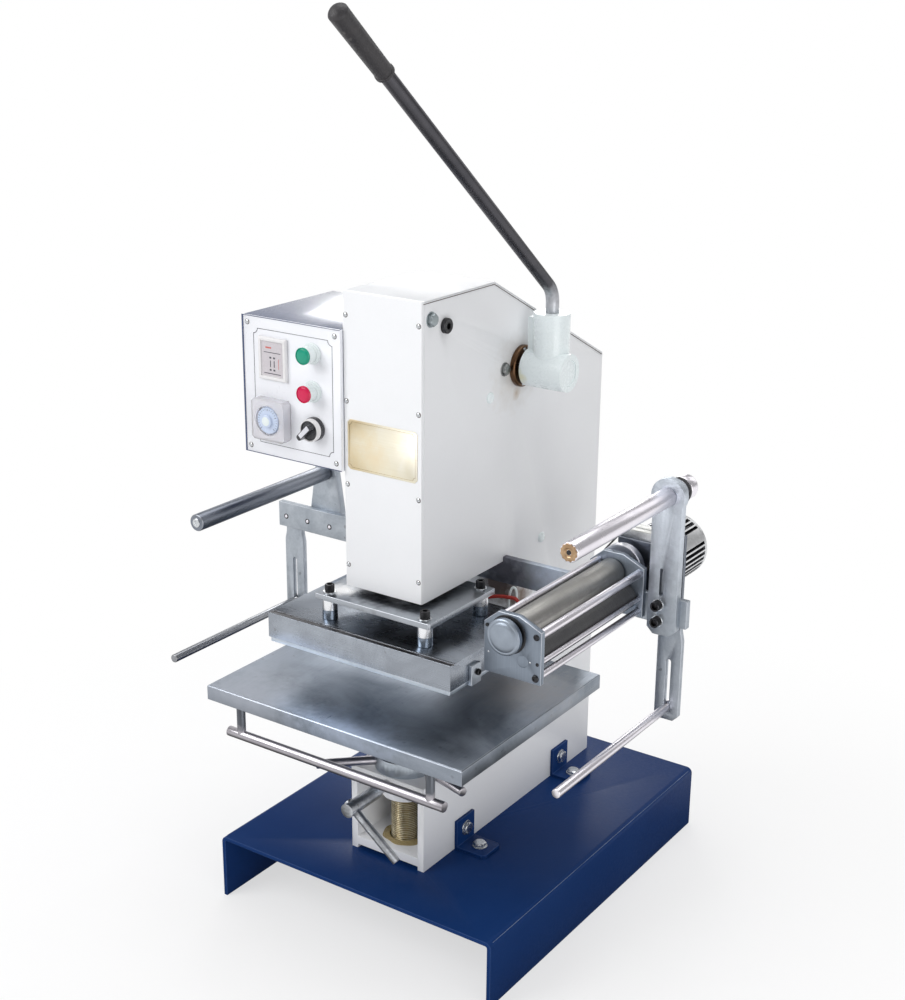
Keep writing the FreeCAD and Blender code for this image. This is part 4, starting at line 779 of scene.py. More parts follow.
class Repeater:
    """Geometry node trees for what repeats, for threads and for lines along a path."""

    def __init__(self) -> None:
        """Builds the trees."""
        self.seats = self._seats()
        self.thread = self._thread()
        self.strip = self._strip()

    @staticmethod
    def _start(name: str, **inputs: str) -> tuple[Tree, dict, Node]:
        """Starts a geometry node tree.

        Args:
            name: Name of the tree.
            inputs: Kind of each input besides Geometry and Material, by name.

        Returns:
            The tree, the sockets that its input node gives, and its output node.
        """
        group = bpy.data.node_groups.new(name, "GeometryNodeTree")
        for title, kind in {"Geometry": "Geometry", **inputs, "Material": "Material"}.items():
            group.interface.new_socket(title, in_out="INPUT", socket_type="NodeSocket" + kind)
        group.interface.new_socket("Geometry", in_out="OUTPUT", socket_type="NodeSocketGeometry")
        tree = Tree(group)
        return tree, tree.add("NodeGroupInput").outputs, tree.add("NodeGroupOutput")

    @staticmethod
    def _close(tree: Tree, given: dict, out: Node, shape: Node) -> NodeTree:
        """Ends a tree in Realize Instances and Set Material.

        Args:
            tree: The tree.
            given: The sockets that its input node gives.
            out: Its output node.
            shape: The node that makes the shape.

        Returns:
            The node tree.
        """
        solid = tree.add("GeometryNodeRealizeInstances", {0: shape.outputs[0]})
        dressed = tree.add("GeometryNodeSetMaterial", {"Geometry": solid.outputs[0],
                                                       "Material": given["Material"]})
        return tree.close(dressed.outputs[0], out)

    def _seats(self) -> NodeTree:
        """Tree that puts a copy of a template on every point of a mesh."""
        tree, given, out = self._start("copies_on_seats", Template="Object")
        template = tree.add("GeometryNodeObjectInfo", {"Object": given["Template"]})
        aim, size, spin = (
            tree.add("GeometryNodeInputNamedAttribute", {"Name": name}, data_type=kind).outputs["Attribute"]
            for name, kind in (("aim", "FLOAT_VECTOR"), ("size", "FLOAT"), ("spin", "FLOAT")))
        turn = tree.add("FunctionNodeAlignRotationToVector", {"Vector": aim}, axis="Z")
        twist = tree.add("FunctionNodeAxisAngleToRotation", {"Axis": (0.0, 0.0, 1.0), "Angle": spin})
        whole = tree.add("FunctionNodeRotateRotation", {0: turn.outputs[0], 1: twist.outputs[0]},
                         rotation_space="LOCAL")
        return self._close(tree, given, out, tree.add("GeometryNodeInstanceOnPoints", {
            "Points": given["Geometry"], "Instance": template.outputs["Geometry"],
            "Rotation": whole.outputs[0], "Scale": size}))

    def _thread(self) -> NodeTree:
        """Tree for a round bar with a helical thread about the z axis."""
        tree, given, out = self._start("helical_thread", Radius="Float", Depth="Float", Pitch="Float",
                                       Length="Float")
        turns = tree.math("DIVIDE", given["Length"], given["Pitch"])
        bar = tree.add("GeometryNodeMeshCylinder", {
            "Vertices": THREAD_SIDES, "Radius": given["Radius"], "Depth": given["Length"],
            "Side Segments": tree.math("CEIL", tree.math("MULTIPLY", turns, THREAD_ROWS))})
        x, y, z = tree.add("ShaderNodeSeparateXYZ", {
            0: tree.add("GeometryNodeInputPosition").outputs[0]}).outputs
        step = tree.math("SUBTRACT", tree.math("DIVIDE", z, given["Pitch"]),
                         tree.math("DIVIDE", tree.math("ARCTAN2", y, x), 2.0 * math.pi))
        flank = tree.ranged(tree.math("PINGPONG", step, 0.5), CREST, ROOT)
        sink = tree.math("MULTIPLY", flank, given["Depth"])
        flat = tree.add("ShaderNodeCombineXYZ", {0: x, 1: y, 2: 0.0})
        unit = tree.vector("NORMALIZE", a=flat.outputs[0])
        shift = tree.add("ShaderNodeVectorMath", {
            0: unit.outputs[0], "Scale": tree.math("MULTIPLY", sink, -1.0)}, operation="SCALE")
        cut = tree.add("GeometryNodeSetPosition", {"Geometry": bar.outputs["Mesh"],
                                                   "Offset": shift.outputs[0]})
        return self._close(tree, given, out, tree.add("GeometryNodeStoreNamedAttribute", {
            "Geometry": cut.outputs[0], "Name": "edge", "Value": tree.math("SUBTRACT", 1.0, flank)},
            data_type="FLOAT", domain="POINT"))

    def _strip(self) -> NodeTree:
        """Tree that runs a round line along the edges of a mesh."""
        tree, given, out = self._start("line_along_path", Radius="Float")
        path = tree.add("GeometryNodeMeshToCurve", {0: given["Geometry"]})
        profile = tree.add("GeometryNodeCurvePrimitiveCircle", {"Resolution": LINE_SIDES,
                                                                "Radius": given["Radius"]})
        return self._close(tree, given, out, tree.add("GeometryNodeCurveToMesh", {
            "Curve": path.outputs[0], "Profile Curve": profile.outputs[0], "Fill Caps": True}))

    @staticmethod
    def run(tree: NodeTree, made: Object, values: dict) -> Object:
        """Runs a tree on an object and bakes the result.

        Args:
            tree: The geometry node tree.
            made: The object that carries it.
            values: The tree's inputs, by name.

        Returns:
            The object, with a plain mesh.
        """
        step = made.modifiers.new("rule", "NODES")
        step.node_group = tree
        for socket in tree.interface.items_tree:
            if socket.item_type == "SOCKET" and socket.in_out == "INPUT" and socket.name in values:
                step[socket.identifier] = values[socket.name]
        return plain(made)

    def copies(self, name: str, template: Object, seats: Sequence[Seat],
               material: Material) -> Object:
        """Puts copies of a template on seats, as one mesh.

        Args:
            name: Name of the piece.
            template: The template, which is removed afterwards.
            seats: Where the copies go.
            material: Their material.

        Returns:
            The piece.
        """
        data = bpy.data.meshes.new(name)
        data.from_pydata([seat.place for seat in seats], [], [])
        for title, kind, key, values in (
                ("aim", "FLOAT_VECTOR", "vector", [part for seat in seats for part in seat.aim]),
                ("size", "FLOAT", "value", [seat.size for seat in seats]),
                ("spin", "FLOAT", "value", [seat.spin for seat in seats])):
            data.attributes.new(title, kind, "POINT").data.foreach_set(key, values)
        made = linked(name, data)
        self.run(self.seats, made, {"Template": template, "Material": material})
        bpy.data.objects.remove(template)
        return made

    def line(self, name: str, path: Sequence[Vector], radius: float, closed: bool,
             material: Material) -> Object:
        """Runs a round line along a path.

        Args:
            name: Name of the piece.
            path: Its points, in metres.
            radius: Radius of the line in millimetres.
            closed: Whether the path joins its own start.
            material: Its material.

        Returns:
            The piece.
        """
        count = len(path)
        edges = [(index, index + 1) for index in range(count - 1)] + ([(count - 1, 0)] if closed else [])
        data = bpy.data.meshes.new(name)
        data.from_pydata(list(path), edges, [])
        return self.run(self.strip, linked(name, data), {"Radius": radius * MM, "Material": material})


# ---- the shop -----------------------------------------------------------------------------------
SINK_GAP, SINK_RISE, SINK_HEAD = 0.7, 0.35, 1.2  # countersunk screws: gap, gap's rise, head's rise


class Shop:
    """Hands out materials and attaches every piece to its body."""

    def __init__(self) -> None:
        """Starts with the shared effects and no materials."""
        self.effects = Effects()
        self.repeater = Repeater()
        self.materials: dict[str, Material] = {}

    def material(self, finish: Finish) -> Material:
        """Finds a finish's material, which is built on first use.

        Args:
            finish: The finish.

        Returns:
            The material.
        """
        if finish.name not in self.materials:
            self.materials[finish.name] = finish.material(self.effects)
        return self.materials[finish.name]

    def hand_over(self, made: Object, finish: Finish, body: Body, *nodes: str) -> Object:
        """Gives a piece its material and body.

        Args:
            made: The piece.
            finish: Its finish.
            body: The body that it moves with.
            nodes: CAD nodes that it stands for.

        Returns:
            The piece.
        """
        made.data.materials.clear()
        made.data.materials.append(self.material(finish))
        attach(made, body.value)
        if nodes:
            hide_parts(*nodes)
        LOG.info("%s rides on %s", made.name, body.value)
        return made

    def dress(self, node: str, finish: Finish, body: Body = Body.FRAME, width: float = 0.8,
              steps: int = 2) -> Object:
        """Replaces a CAD node by its refined copy."""
        return self.hand_over(refined(node, width, steps), finish, body, node)

    def place(self, name: str, template: Object, seats: Sequence[Seat], finish: Finish,
              body: Body = Body.FRAME, *nodes: str) -> Object:
        """Sets copies of a template on seats, as one piece for the CAD nodes named."""
        made = self.repeater.copies(name, template, seats, self.material(finish))
        return self.hand_over(made, finish, body, *nodes)

    def turn(self, name: str, rows: Sequence[tuple], foot: Vector, finish: Finish, body: Body = Body.FRAME,
             *nodes: str, axis: Vector = -Y_AXIS, steps: int = 72) -> Object:
        """Turns a piece, facing forwards unless told otherwise, for the CAD nodes named."""
        return self.hand_over(turned(name, rows, foot, axis, steps), finish, body, *nodes)

    def rule(self, name: str, path: Sequence[Vector], radius: float, finish: Finish, body: Body = Body.FRAME,
             closed: bool = False) -> Object:
        """Runs a round line along a path."""
        made = self.repeater.line(name, path, radius, closed, self.material(finish))
        return self.hand_over(made, finish, body)

    def countersunk(self, name: str, screws: "Fasteners", seats: Sequence[Seat], radius: float) -> None:
        """Sets bright screws, their heads so many millimetres wide each way, in dark countersinks."""
        self.place(name + "_gaps", screws.washer_ring(radius + SINK_GAP, SINK_RISE), seats, SEAM_AND_SHADE)
        self.place(name + "_heads", screws.pan_screw(radius, SINK_HEAD), seats, ZINC)

    def recolour(self, node: str, finish: Finish) -> None:
        """Gives a CAD node, which stays as it is, a finish.

        Args:
            node: Name of the node.
            finish: The finish.
        """
        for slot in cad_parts[node].material_slots:
            slot.material = self.material(finish)
        LOG.info("%s keeps its CAD shape", node)


# ---- finishes -----------------------------------------------------------------------------------
def grey(tone: float) -> RGB:
    """A colour with equal parts."""
    return tone, tone, tone


WHITE = Enamel("white_enamel", "white_enamel", (0.87, 0.88, 0.9), 0.42, (0.8, 0.81, 0.83), 0.3, 6.0,
    (0.93, 0.94, 0.95), 0.3, 0.1, 0.02, spread=0.25,
    stains_and_light=(StainAndLight((62.5, 222.0, 742.0), 11.0, (0.42, 0.28, 0.14), 0.1),
    StainAndLight((62.5, 212.0, 770.0), 62.0, (0.74, 0.72, 0.7), 0.02),
    # painted shade and dirt: dark patches on the column under the cross bar and behind the feed motor, where
    # the feed unit shades it
    StainAndLight((30.0, 235.0, 446.0), 36.0, (0.09, 0.06, 0.05), 0.45),
    StainAndLight((62.5, 246.0, 428.0), 34.0, (0.2, 0.14, 0.11), 0.25)))
# painted shade: a darker copy of the white enamel for the top cover, so that its brightly lit top reads
# darker
WHITE_SHADED_TOP = Enamel("top_enamel", "white_enamel", (0.72, 0.73, 0.75), 0.5, (0.68, 0.69, 0.71), 0.3, 6.0,
    (0.86, 0.87, 0.88), 0.3, 0.1, 0.02, spread=0.25, gloss=0.3)
NAVY = Enamel("navy_enamel", "navy_enamel", (0.005, 0.03, 0.13), 0.36, (0.012, 0.045, 0.165), 0.5, 5.0,
    (0.06, 0.11, 0.26), 0.5, 0.08, 0.06, coat=0.0, gloss=0.09)
# painted highlight: lighter navy for a thin line along each bend of the base
NAVY_BEND_HIGHLIGHT = Enamel("navy_worn", "navy_enamel", (0.16, 0.21, 0.34), 0.34, (0.05, 0.09, 0.2), 0.9, 14.0,
    spread=0.12, gloss=0.3)
BOX_NAVY = Enamel("box_navy", "navy_enamel", (0.01, 0.03, 0.11), 0.22, (0.02, 0.045, 0.14), 0.5, 5.0,
    (0.1, 0.14, 0.28), 0.5, 0.05, 0.06, coat=0.6, gloss=0.8)
HUB = Enamel("hub_enamel", "hub_enamel", (0.88, 0.95, 0.96), 0.26, (0.8, 0.88, 0.9), 0.5, 30.0,
    (0.9, 0.95, 0.96), 0.3, 0.22, 0.03,
    stains_and_light=(StainAndLight((75.5, 214.0, 772.0), 14.0, (0.66, 0.62, 0.3), 0.1),), coat=0.4, gloss=0.5)
GREY_ARM = BareMetal("grey_arm", "grey_arm", (0.52, 0.56, 0.61), 0.44, (0.36, 0.4, 0.45), 0.6, 26.0,
    (0.72, 0.75, 0.8), 0.5, 0.25, 0.12, speck=(grey(0.12), 0.4),
    # painted reflections: a dark patch and a bluish highlight on the cross bar, and a lighter patch on the
    # right arm
    stains_and_light=(StainAndLight((60.0, 196.5, 492.0), 62.0, (0.17, 0.17, 0.2), 0.3),
    StainAndLight((140.0, 196.5, 500.0), 44.0, (0.74, 0.82, 0.95), 0.1),
    StainAndLight((308.0, 190.0, 620.0), 95.0, (0.68, 0.73, 0.8), 0.3)))
GROUND = BareMetal("ground_steel", "ground_steel", (0.5, 0.54, 0.59), 0.32, (0.34, 0.37, 0.42), 0.5, 22.0,
    (0.8, 0.83, 0.88), 0.6, 0.12, 0.25, lay=Lay.ALONG_X)
RAM_STEEL = BareMetal("ram_steel", "ground_steel", (0.46, 0.49, 0.53), 0.3, (0.34, 0.36, 0.39), 0.5, 16.0,
    (0.8, 0.83, 0.88), 0.6, 0.08, 0.2, lay=Lay.ALONG_X,
    # painted shadow under the head, and a painted highlight at the plate's left front corner
    stains_and_light=(StainAndLight((0.0, 44.0, 493.0), 74.0, (0.08, 0.08, 0.09), 0.45),
    StainAndLight((-72.0, 0.0, 493.0), 24.0, grey(1.0), 0.35)))
FEED_PLATE = BareMetal("feed_plate", "ground_steel", (0.25, 0.29, 0.35), 0.38, (0.35, 0.4, 0.47), 0.6,
    22.0, (0.8, 0.83, 0.88), 0.7, 0.15, 0.2, lay=Lay.ALONG_Z)
DRIVE_STEEL = BareMetal("drive_steel", "ground_steel", (0.44, 0.43, 0.41), 0.42, (0.27, 0.27, 0.26), 0.7,
    16.0, grey(0.6), 0.5, 0.12, 0.3, lay=Lay.TURNED_Y)
DARK_STEEL = BareMetal("dark_steel", "dark_steel", (0.1, 0.1, 0.11), 0.34, (0.17, 0.16, 0.15), 0.6, 30.0,
    grey(0.4), 0.4, 0.12, 0.15)
TABLE_STEEL = BareMetal("milled_table", "milled_table", (0.2, 0.23, 0.27), 0.34, (0.42, 0.46, 0.53), 0.85,
    7.0, (0.66, 0.7, 0.76), 0.5, 0.03, 0.08, lay=Lay.ALONG_Y, spread=0.14,
    speck=((0.08, 0.07, 0.06), 0.2),
    # painted reflections: lighter bluish and grey patches on the table's top
    stains_and_light=(StainAndLight((-150.0, -120.0, 375.0), 120.0, (0.44, 0.47, 0.53), 0.05),
    StainAndLight((20.0, -150.0, 375.0), 110.0, (0.44, 0.5, 0.62), 0.05),
    StainAndLight((150.0, 120.0, 375.0), 90.0, (0.4, 0.4, 0.41), 0.05)))
HOT_STEEL = BareMetal("heat_alloy", "heat_alloy", (0.31, 0.335, 0.375), 0.26, (0.48, 0.52, 0.58), 0.8,
    9.0, (0.3, 0.32, 0.35), 0.4, 0.015, 0.06, lay=Lay.ALONG_X, spread=0.14,
    speck=((0.1, 0.08, 0.06), 0.2))
# painted shade: dark strips that widen the groove's shadow on the heat block
GROOVE_SHADE = BareMetal("scorched_band", "heat_alloy", (0.085, 0.085, 0.095), 0.34, (0.14, 0.14, 0.15), 0.6,
    14.0, bump=0.05, line_share=0.2, lay=Lay.ALONG_X)
DIE_LIP = BareMetal("die_steel", "heat_alloy", (0.62, 0.68, 0.75), 0.34, (0.42, 0.47, 0.53), 0.5, 40.0,
    (0.85, 0.88, 0.92), 0.5, 0.1, 0.2, lay=Lay.ALONG_X)
ZINC = BareMetal("bolt_zinc", "bolt_zinc", (0.7, 0.72, 0.74), 0.24, (0.5, 0.52, 0.54), 0.5, 90.0,
    grey(0.9), 0.4, 0.1, 0.12)
# painted highlight: the bright edge colour lights the bush's rounded rim
BUSH_STEEL = BareMetal("bush_steel", "dark_steel", (0.12, 0.065, 0.035), 0.3, (0.2, 0.12, 0.07), 0.7,
    40.0, (0.75, 0.76, 0.74), 0.9, 0.2, 0.2)
DULL_BOLT = BareMetal("dull_bolt", "dark_steel", (0.34, 0.35, 0.35), 0.36, (0.2, 0.2, 0.19), 0.6, 60.0,
    grey(0.7), 0.6, 0.2, 0.2)
SIDE_BOLT = BareMetal("side_bolt", "dark_steel", (0.4, 0.45, 0.47), 0.34, (0.26, 0.29, 0.3), 0.6, 60.0,
    grey(0.8), 0.5, 0.2, 0.2)
OXIDE = BareMetal("black_screw", "black_screw", (0.045, 0.045, 0.05), 0.34, grey(0.09), 0.6, 90.0,
    grey(0.28), 0.5, 0.15, 0.15)
CHROME_X = BareMetal("chrome_rail", "chrome_rod", (0.52, 0.5, 0.53), 0.34, (0.36, 0.34, 0.39), 0.5, 30.0,
    grey(0.75), 0.3, 0.05, lay=Lay.ALONG_X,
    stains_and_light=(StainAndLight((-158.0, -113.5, 325.0), 23.0, (0.13, 0.14, 0.16), 0.6),
    StainAndLight((158.0, -113.5, 325.0), 23.0, (0.13, 0.14, 0.16), 0.6)))
CHROME_Y = BareMetal("chrome_rod", "chrome_rod", (0.92, 0.89, 0.94), 0.28, (0.8, 0.77, 0.84), 0.4, 18.0,
    grey(0.85), 0.4, 0.02, 0.04, lay=Lay.TURNED_Y)
CHROME_Z = BareMetal("chrome_post", "chrome_rod", (0.9, 0.91, 0.93), 0.22, (0.84, 0.86, 0.9), 0.3, 6.0,
    grey(0.85), 0.2, 0.0, 0.0, spread=0.3)
# painted reflection: a darker bluish copy of the chrome for the standoffs' lower halves
STANDOFF_SHADED = BareMetal("nickel_post", "chrome_rod", (0.36, 0.42, 0.5), 0.24, (0.3, 0.35, 0.42), 0.3, 6.0,
    grey(0.85), 0.2, 0.0, 0.0, spread=0.3)
GUIDE_STEEL = BareMetal("guide_steel", "dark_steel", (0.3, 0.31, 0.33), 0.28, (0.42, 0.43, 0.46), 0.6,
    24.0, grey(0.6), 0.5, 0.1, 0.2, lay=Lay.TURNED_Y)
UNWIND_STEEL = BareMetal("unwind_steel", "dark_steel", (0.22, 0.24, 0.28), 0.34, (0.3, 0.32, 0.37), 0.5,
    12.0, (0.6, 0.62, 0.66), 0.5, 0.03, 0.06, lay=Lay.TURNED_Y)
LEVER_STEEL = BareMetal("lever_steel", "dark_steel", (0.075, 0.075, 0.085), 0.34, (0.13, 0.125, 0.135),
    0.6, 14.0, grey(0.5), 0.4, 0.06, 0.06,
    stains_and_light=(StainAndLight((106.5, 238.0, 868.0), 42.0, (0.5, 0.51, 0.54), 0.3),))
BRASS = BareMetal("brass_thread", "brass_thread", (0.24, 0.17, 0.06), 0.34, (0.16, 0.1, 0.03), 0.5, 30.0,
    (0.98, 0.92, 0.7), 0.95, 0.03, 0.05, lay=Lay.TURNED_Z)
GREASE = Moulded("grease", "brass_thread", (0.42, 0.34, 0.17), 0.26, (0.24, 0.17, 0.07), 0.8, 60.0,
    bump=0.6, line_share=0.2)
GOLD = BareMetal("gold_plate", "gold_plate", (0.93, 0.86, 0.66), 0.42, (0.98, 0.95, 0.86), 0.75, 16.0,
    (0.6, 0.47, 0.25), 0.7, 0.08, 0.08, lay=Lay.ALONG_X, spread=0.16,
    stains_and_light=(StainAndLight((-46.0, -4.0, 731.0), 46.0, (0.9, 0.76, 0.5), 0.05),
    StainAndLight((-44.0, -4.0, 674.0), 44.0, (0.9, 0.76, 0.5), 0.05),
    StainAndLight((-10.0, -4.0, 690.0), 26.0, (0.92, 0.8, 0.58), 0.05)))
GOLD_LINE = BareMetal("gold_line", "gold_plate", (0.48, 0.34, 0.14), line_share=0.2)
# painted shade: the dark base colour shows only in the fin grooves; the bright edge colour is the motor's
# metal
MOTOR_SHADED_GROOVES = BareMetal("motor_alloy", "motor_alloy", (0.08, 0.08, 0.09), 0.34, (0.14, 0.14, 0.15), 0.6, 30.0,
    (0.8, 0.81, 0.82), 0.97, 0.08, 0.04, edge_floor=0.86)
SILVER_PAINT = Enamel("silver_paint", "motor_alloy", (0.72, 0.72, 0.68), 0.36, (0.6, 0.61, 0.6), 0.5,
    30.0, (0.85, 0.85, 0.82), 0.5, 0.04, edge_floor=0.8, gloss=0.5)
PULLEY_STEEL = BareMetal("pulley_steel", "turned_alloy", (0.9, 0.9, 0.94), 0.32, (0.66, 0.65, 0.74), 0.5,
    30.0, grey(0.95), 0.5, 0.08, 0.15, lay=Lay.TURNED_Y)
PLATE_STEEL = BareMetal("bracket_steel", "dark_steel", (0.15, 0.17, 0.21), 0.36, (0.22, 0.24, 0.29), 0.6,
    30.0, (0.45, 0.46, 0.48), 0.5, 0.12, 0.15, lay=Lay.ALONG_Z)
LOCK_STEEL = BareMetal("lock_steel", "ground_steel", (0.72, 0.75, 0.79), 0.34, (0.36, 0.37, 0.4), 0.9,
    60.0, (0.85, 0.87, 0.9), 0.7, 0.35, 0.3, spread=0.16, speck=((0.1, 0.09, 0.08), 0.4))
COPPER = BareMetal("copper_ring", "brass_thread", (0.6, 0.42, 0.26), 0.34, (0.36, 0.22, 0.12), 0.8, 120.0,
    (0.9, 0.8, 0.7), 0.6, 0.3, 0.3, spread=0.16)
TURNED = BareMetal("turned_alloy", "turned_alloy", (0.38, 0.43, 0.5), 0.34, (0.3, 0.34, 0.4), 0.5, 40.0,
    grey(0.9), 0.5, 0.1, 0.2, lay=Lay.TURNED_Y)
GRIP = Moulded("black_grip", "black_grip", (0.026, 0.024, 0.028), 0.42, (0.055, 0.05, 0.052), 0.6, 40.0,
    bump=0.5, line_share=0.3, speck=((0.15, 0.14, 0.13), 0.3))
ROLLER_RUBBER = Moulded("roller_rubber", "roller_rubber", (0.06, 0.06, 0.064), 0.45, grey(0.1), 0.6, 18.0,
    bump=0.3, line_share=0.3, lay=Lay.TURNED_Y)
BELT = Moulded("belt_rubber", "belt_rubber", (0.04, 0.04, 0.042), 0.6, grey(0.08), 0.5, 50.0, bump=0.4,
    line_share=0.3)
PANEL = Enamel("panel_white", "panel_white", (0.88, 0.89, 0.93), 0.3, (0.83, 0.85, 0.9), 0.4, 10.0,
    (0.25, 0.25, 0.35), 0.6, 0.04, 0.02)
# dark joints and gaps, and also painted shadow in the heat block's groove and the cross bar's slot
SEAM_AND_SHADE = Moulded("seam_dirt", "white_enamel", (0.1, 0.08, 0.07), 0.7, line_share=0.2)
INK = Moulded("panel_ink", "black_plastic", (0.03, 0.03, 0.05), 0.5, line_share=0.2)
TIMER_CASE = Moulded("timer_plastic", "timer_plastic", (0.82, 0.81, 0.82), 0.35, (0.74, 0.73, 0.73), 0.4,
    40.0, bump=0.15)
TIMER_FACE = Moulded("timer_face", "timer_plastic", (0.62, 0.58, 0.61), 0.25, (0.52, 0.5, 0.53), 0.4,
    60.0)
TIMER_RED = Moulded("timer_mark", "red_lens", (0.6, 0.12, 0.1))
WHITE_PLASTIC = Moulded("white_plastic", "white_plastic", (0.78, 0.84, 0.84), 0.25, (0.7, 0.78, 0.8), 0.4,
    60.0, bump=0.08, line_share=0.05)
GREEN = Moulded("green_lens", "green_lens", (0.0, 0.29, 0.18), 0.14, (0.0, 0.37, 0.24), 0.5, 60.0,
    gloss=0.55)
RED = Moulded("red_lens", "red_lens", (0.6, 0.0, 0.06), 0.14, (0.7, 0.0, 0.1), 0.5, 60.0, gloss=0.55)
CLEAR = ClearPlastic("clear_plastic", "clear_plastic", (0.97, 0.96, 0.99), 0.12, (0.94, 0.94, 0.97), 0.3,
    30.0, bump=0.05, line_share=0.05)
DIAL = Moulded("dial_plastic", "white_plastic", (0.58, 0.66, 0.82), 0.25, (0.5, 0.6, 0.78), 0.4, 60.0,
    bump=0.08, line_share=0.05)
DIAL_INK = Moulded("dial_ink", "black_plastic", (0.22, 0.26, 0.36), 0.5, line_share=0.2)
BLACK = Moulded("black_plastic", "black_plastic", (0.025, 0.025, 0.03), 0.25, (0.05, 0.05, 0.06), 0.5,
    80.0)
RED_SLEEVE = Moulded("red_sleeve", "roller_rubber", (0.42, 0.03, 0.02), 0.55, (0.3, 0.02, 0.02), 0.5,
    80.0, bump=0.4, line_share=0.3)


# ---- fasteners ----------------------------------------------------------------------------------
@dataclass(frozen=True)
class Fasteners:
    """Templates of screws and bolts, standing on z = 0 and pointing up."""

    hex_flats: float = 17.0
    washer: float = 1.4

    def hex_bolt(self, head: float) -> Object:
        """Hexagon head with a turned chamfer on a round washer.

        Args:
            head: Height of the head with its washer in millimetres.

        Returns:
            The template.
        """
        flat, washer = self.hex_flats / 2, self.washer
        return turned("hex_bolt", (
            (0.0, flat + 2.6), (washer - 0.3, flat + 2.6), (washer, flat + 2.3), (washer, flat + 0.4),
            (washer, flat, HEX), (head - 1.2, flat, HEX), (head - 0.2, flat - 0.5), (head, flat - 1.2),
            (head, TIP)), steps=48)

    def cap_screw(self, radius: float, head: float, key: float) -> Object:
        """Knurled cylinder head with a hexagon socket.

        Args:
            radius: Radius of the head in millimetres.
            head: Height of the head in millimetres.
            key: Width of the socket across its flats in millimetres.

        Returns:
            The template.
        """
        knurl = Shape.KNURLED
        return turned("cap_screw", (
            (0.0, radius - 0.4), (0.4, radius, knurl), (head - 1.4, radius, knurl),
            (head - 0.8, radius - 0.2), (head, radius - 1.0), (head, key / 2 + 0.9),
            (head - 0.4, key / 2, HEX), (head * 0.45, key / 2, HEX), (head * 0.4, TIP)), steps=72)

    def washer_ring(self, radius: float, height: float) -> Object:
        """Flat round washer."""
        return turned("washer", ((0.0, radius), (height - 0.3, radius), (height, radius - 0.3),
                                 (height, TIP)), steps=48)

    def pan_screw(self, radius: float, head: float) -> Object:
        """Low domed head with a sunk middle.

        Args:
            radius: Radius of the head in millimetres.
            head: Height of the head in millimetres.

        Returns:
            The template.
        """
        return turned("pan_screw", (
            (0.0, radius), (head * 0.45, radius * 0.97), (head * 0.85, radius * 0.72),
            (head, radius * 0.42), (head * 0.45, radius * 0.3, HEX), (head * 0.4, TIP)), steps=36)

    def dome_nut(self, radius: float, head: float) -> Object:
        """Domed round head."""
        return turned("dome", ((0.0, radius), (head * 0.4, radius), (head * 0.75, radius * 0.8),
                               (head, radius * 0.4), (head, TIP)), steps=36)


# ---- sub-assemblies -----------------------------------------------------------------------------
@dataclass
class Assembly:
    """What every sub-assembly has: the shop and the templates of its fasteners."""

    shop: Shop
    screws: Fasteners = field(default_factory=Fasteners)

    def make(self) -> None:
        """Dresses the sub-assembly."""
        raise NotImplementedError


@dataclass
class Base(Assembly):
    """Folded base with the four foot brackets and their bolts."""

    sheet_edge: float = 0.7
    bend: float = 9.0
    highlight_radius: float = 0.45
    bolt_head: float = 6.4
    bolt_spin: float = 0.35

    def make(self) -> None:
        """Dresses the base, the brackets and the bolts."""
        for node in ("base_channel", "foot_brackets"):
            self.shop.dress(node, NAVY, width=self.sheet_edge)
        low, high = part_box("base_channel")
        bend = self.bend * MM
        inset = (1.0 - math.sqrt(0.5)) * bend
        # painted highlight: a thin lighter line along each top bend
        for name, x in (("left", low.x + inset), ("right", high.x - inset)):
            path = [Vector((x, y, high.z - inset)) for y in (low.y + bend, high.y - bend)]
            self.shop.rule(f"bend_wear_{name}", path, self.highlight_radius, NAVY_BEND_HIGHLIGHT)
        seats = []
        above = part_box("heat_block")[1].z
        for low, high in lumps("frame_bolts"):
            if low.z > above:
                continue
            size = high - low
            thin = min(range(3), key=lambda axis: size[axis])
            aim = Vector((0, 0, 0))
            aim[thin] = math.copysign(1.0, low.x) if thin == 0 else 1.0
            middle = (low + high) / 2
            middle[thin] = low[thin] if aim[thin] > 0 else high[thin]
            seats.append(Seat(middle, aim, size[thin] / (self.bolt_head * MM), self.bolt_spin * len(seats)))
        self.shop.place("frame_bolts_hex", self.screws.hex_bolt(self.bolt_head), seats, ZINC, Body.FRAME,
                        "frame_bolts")


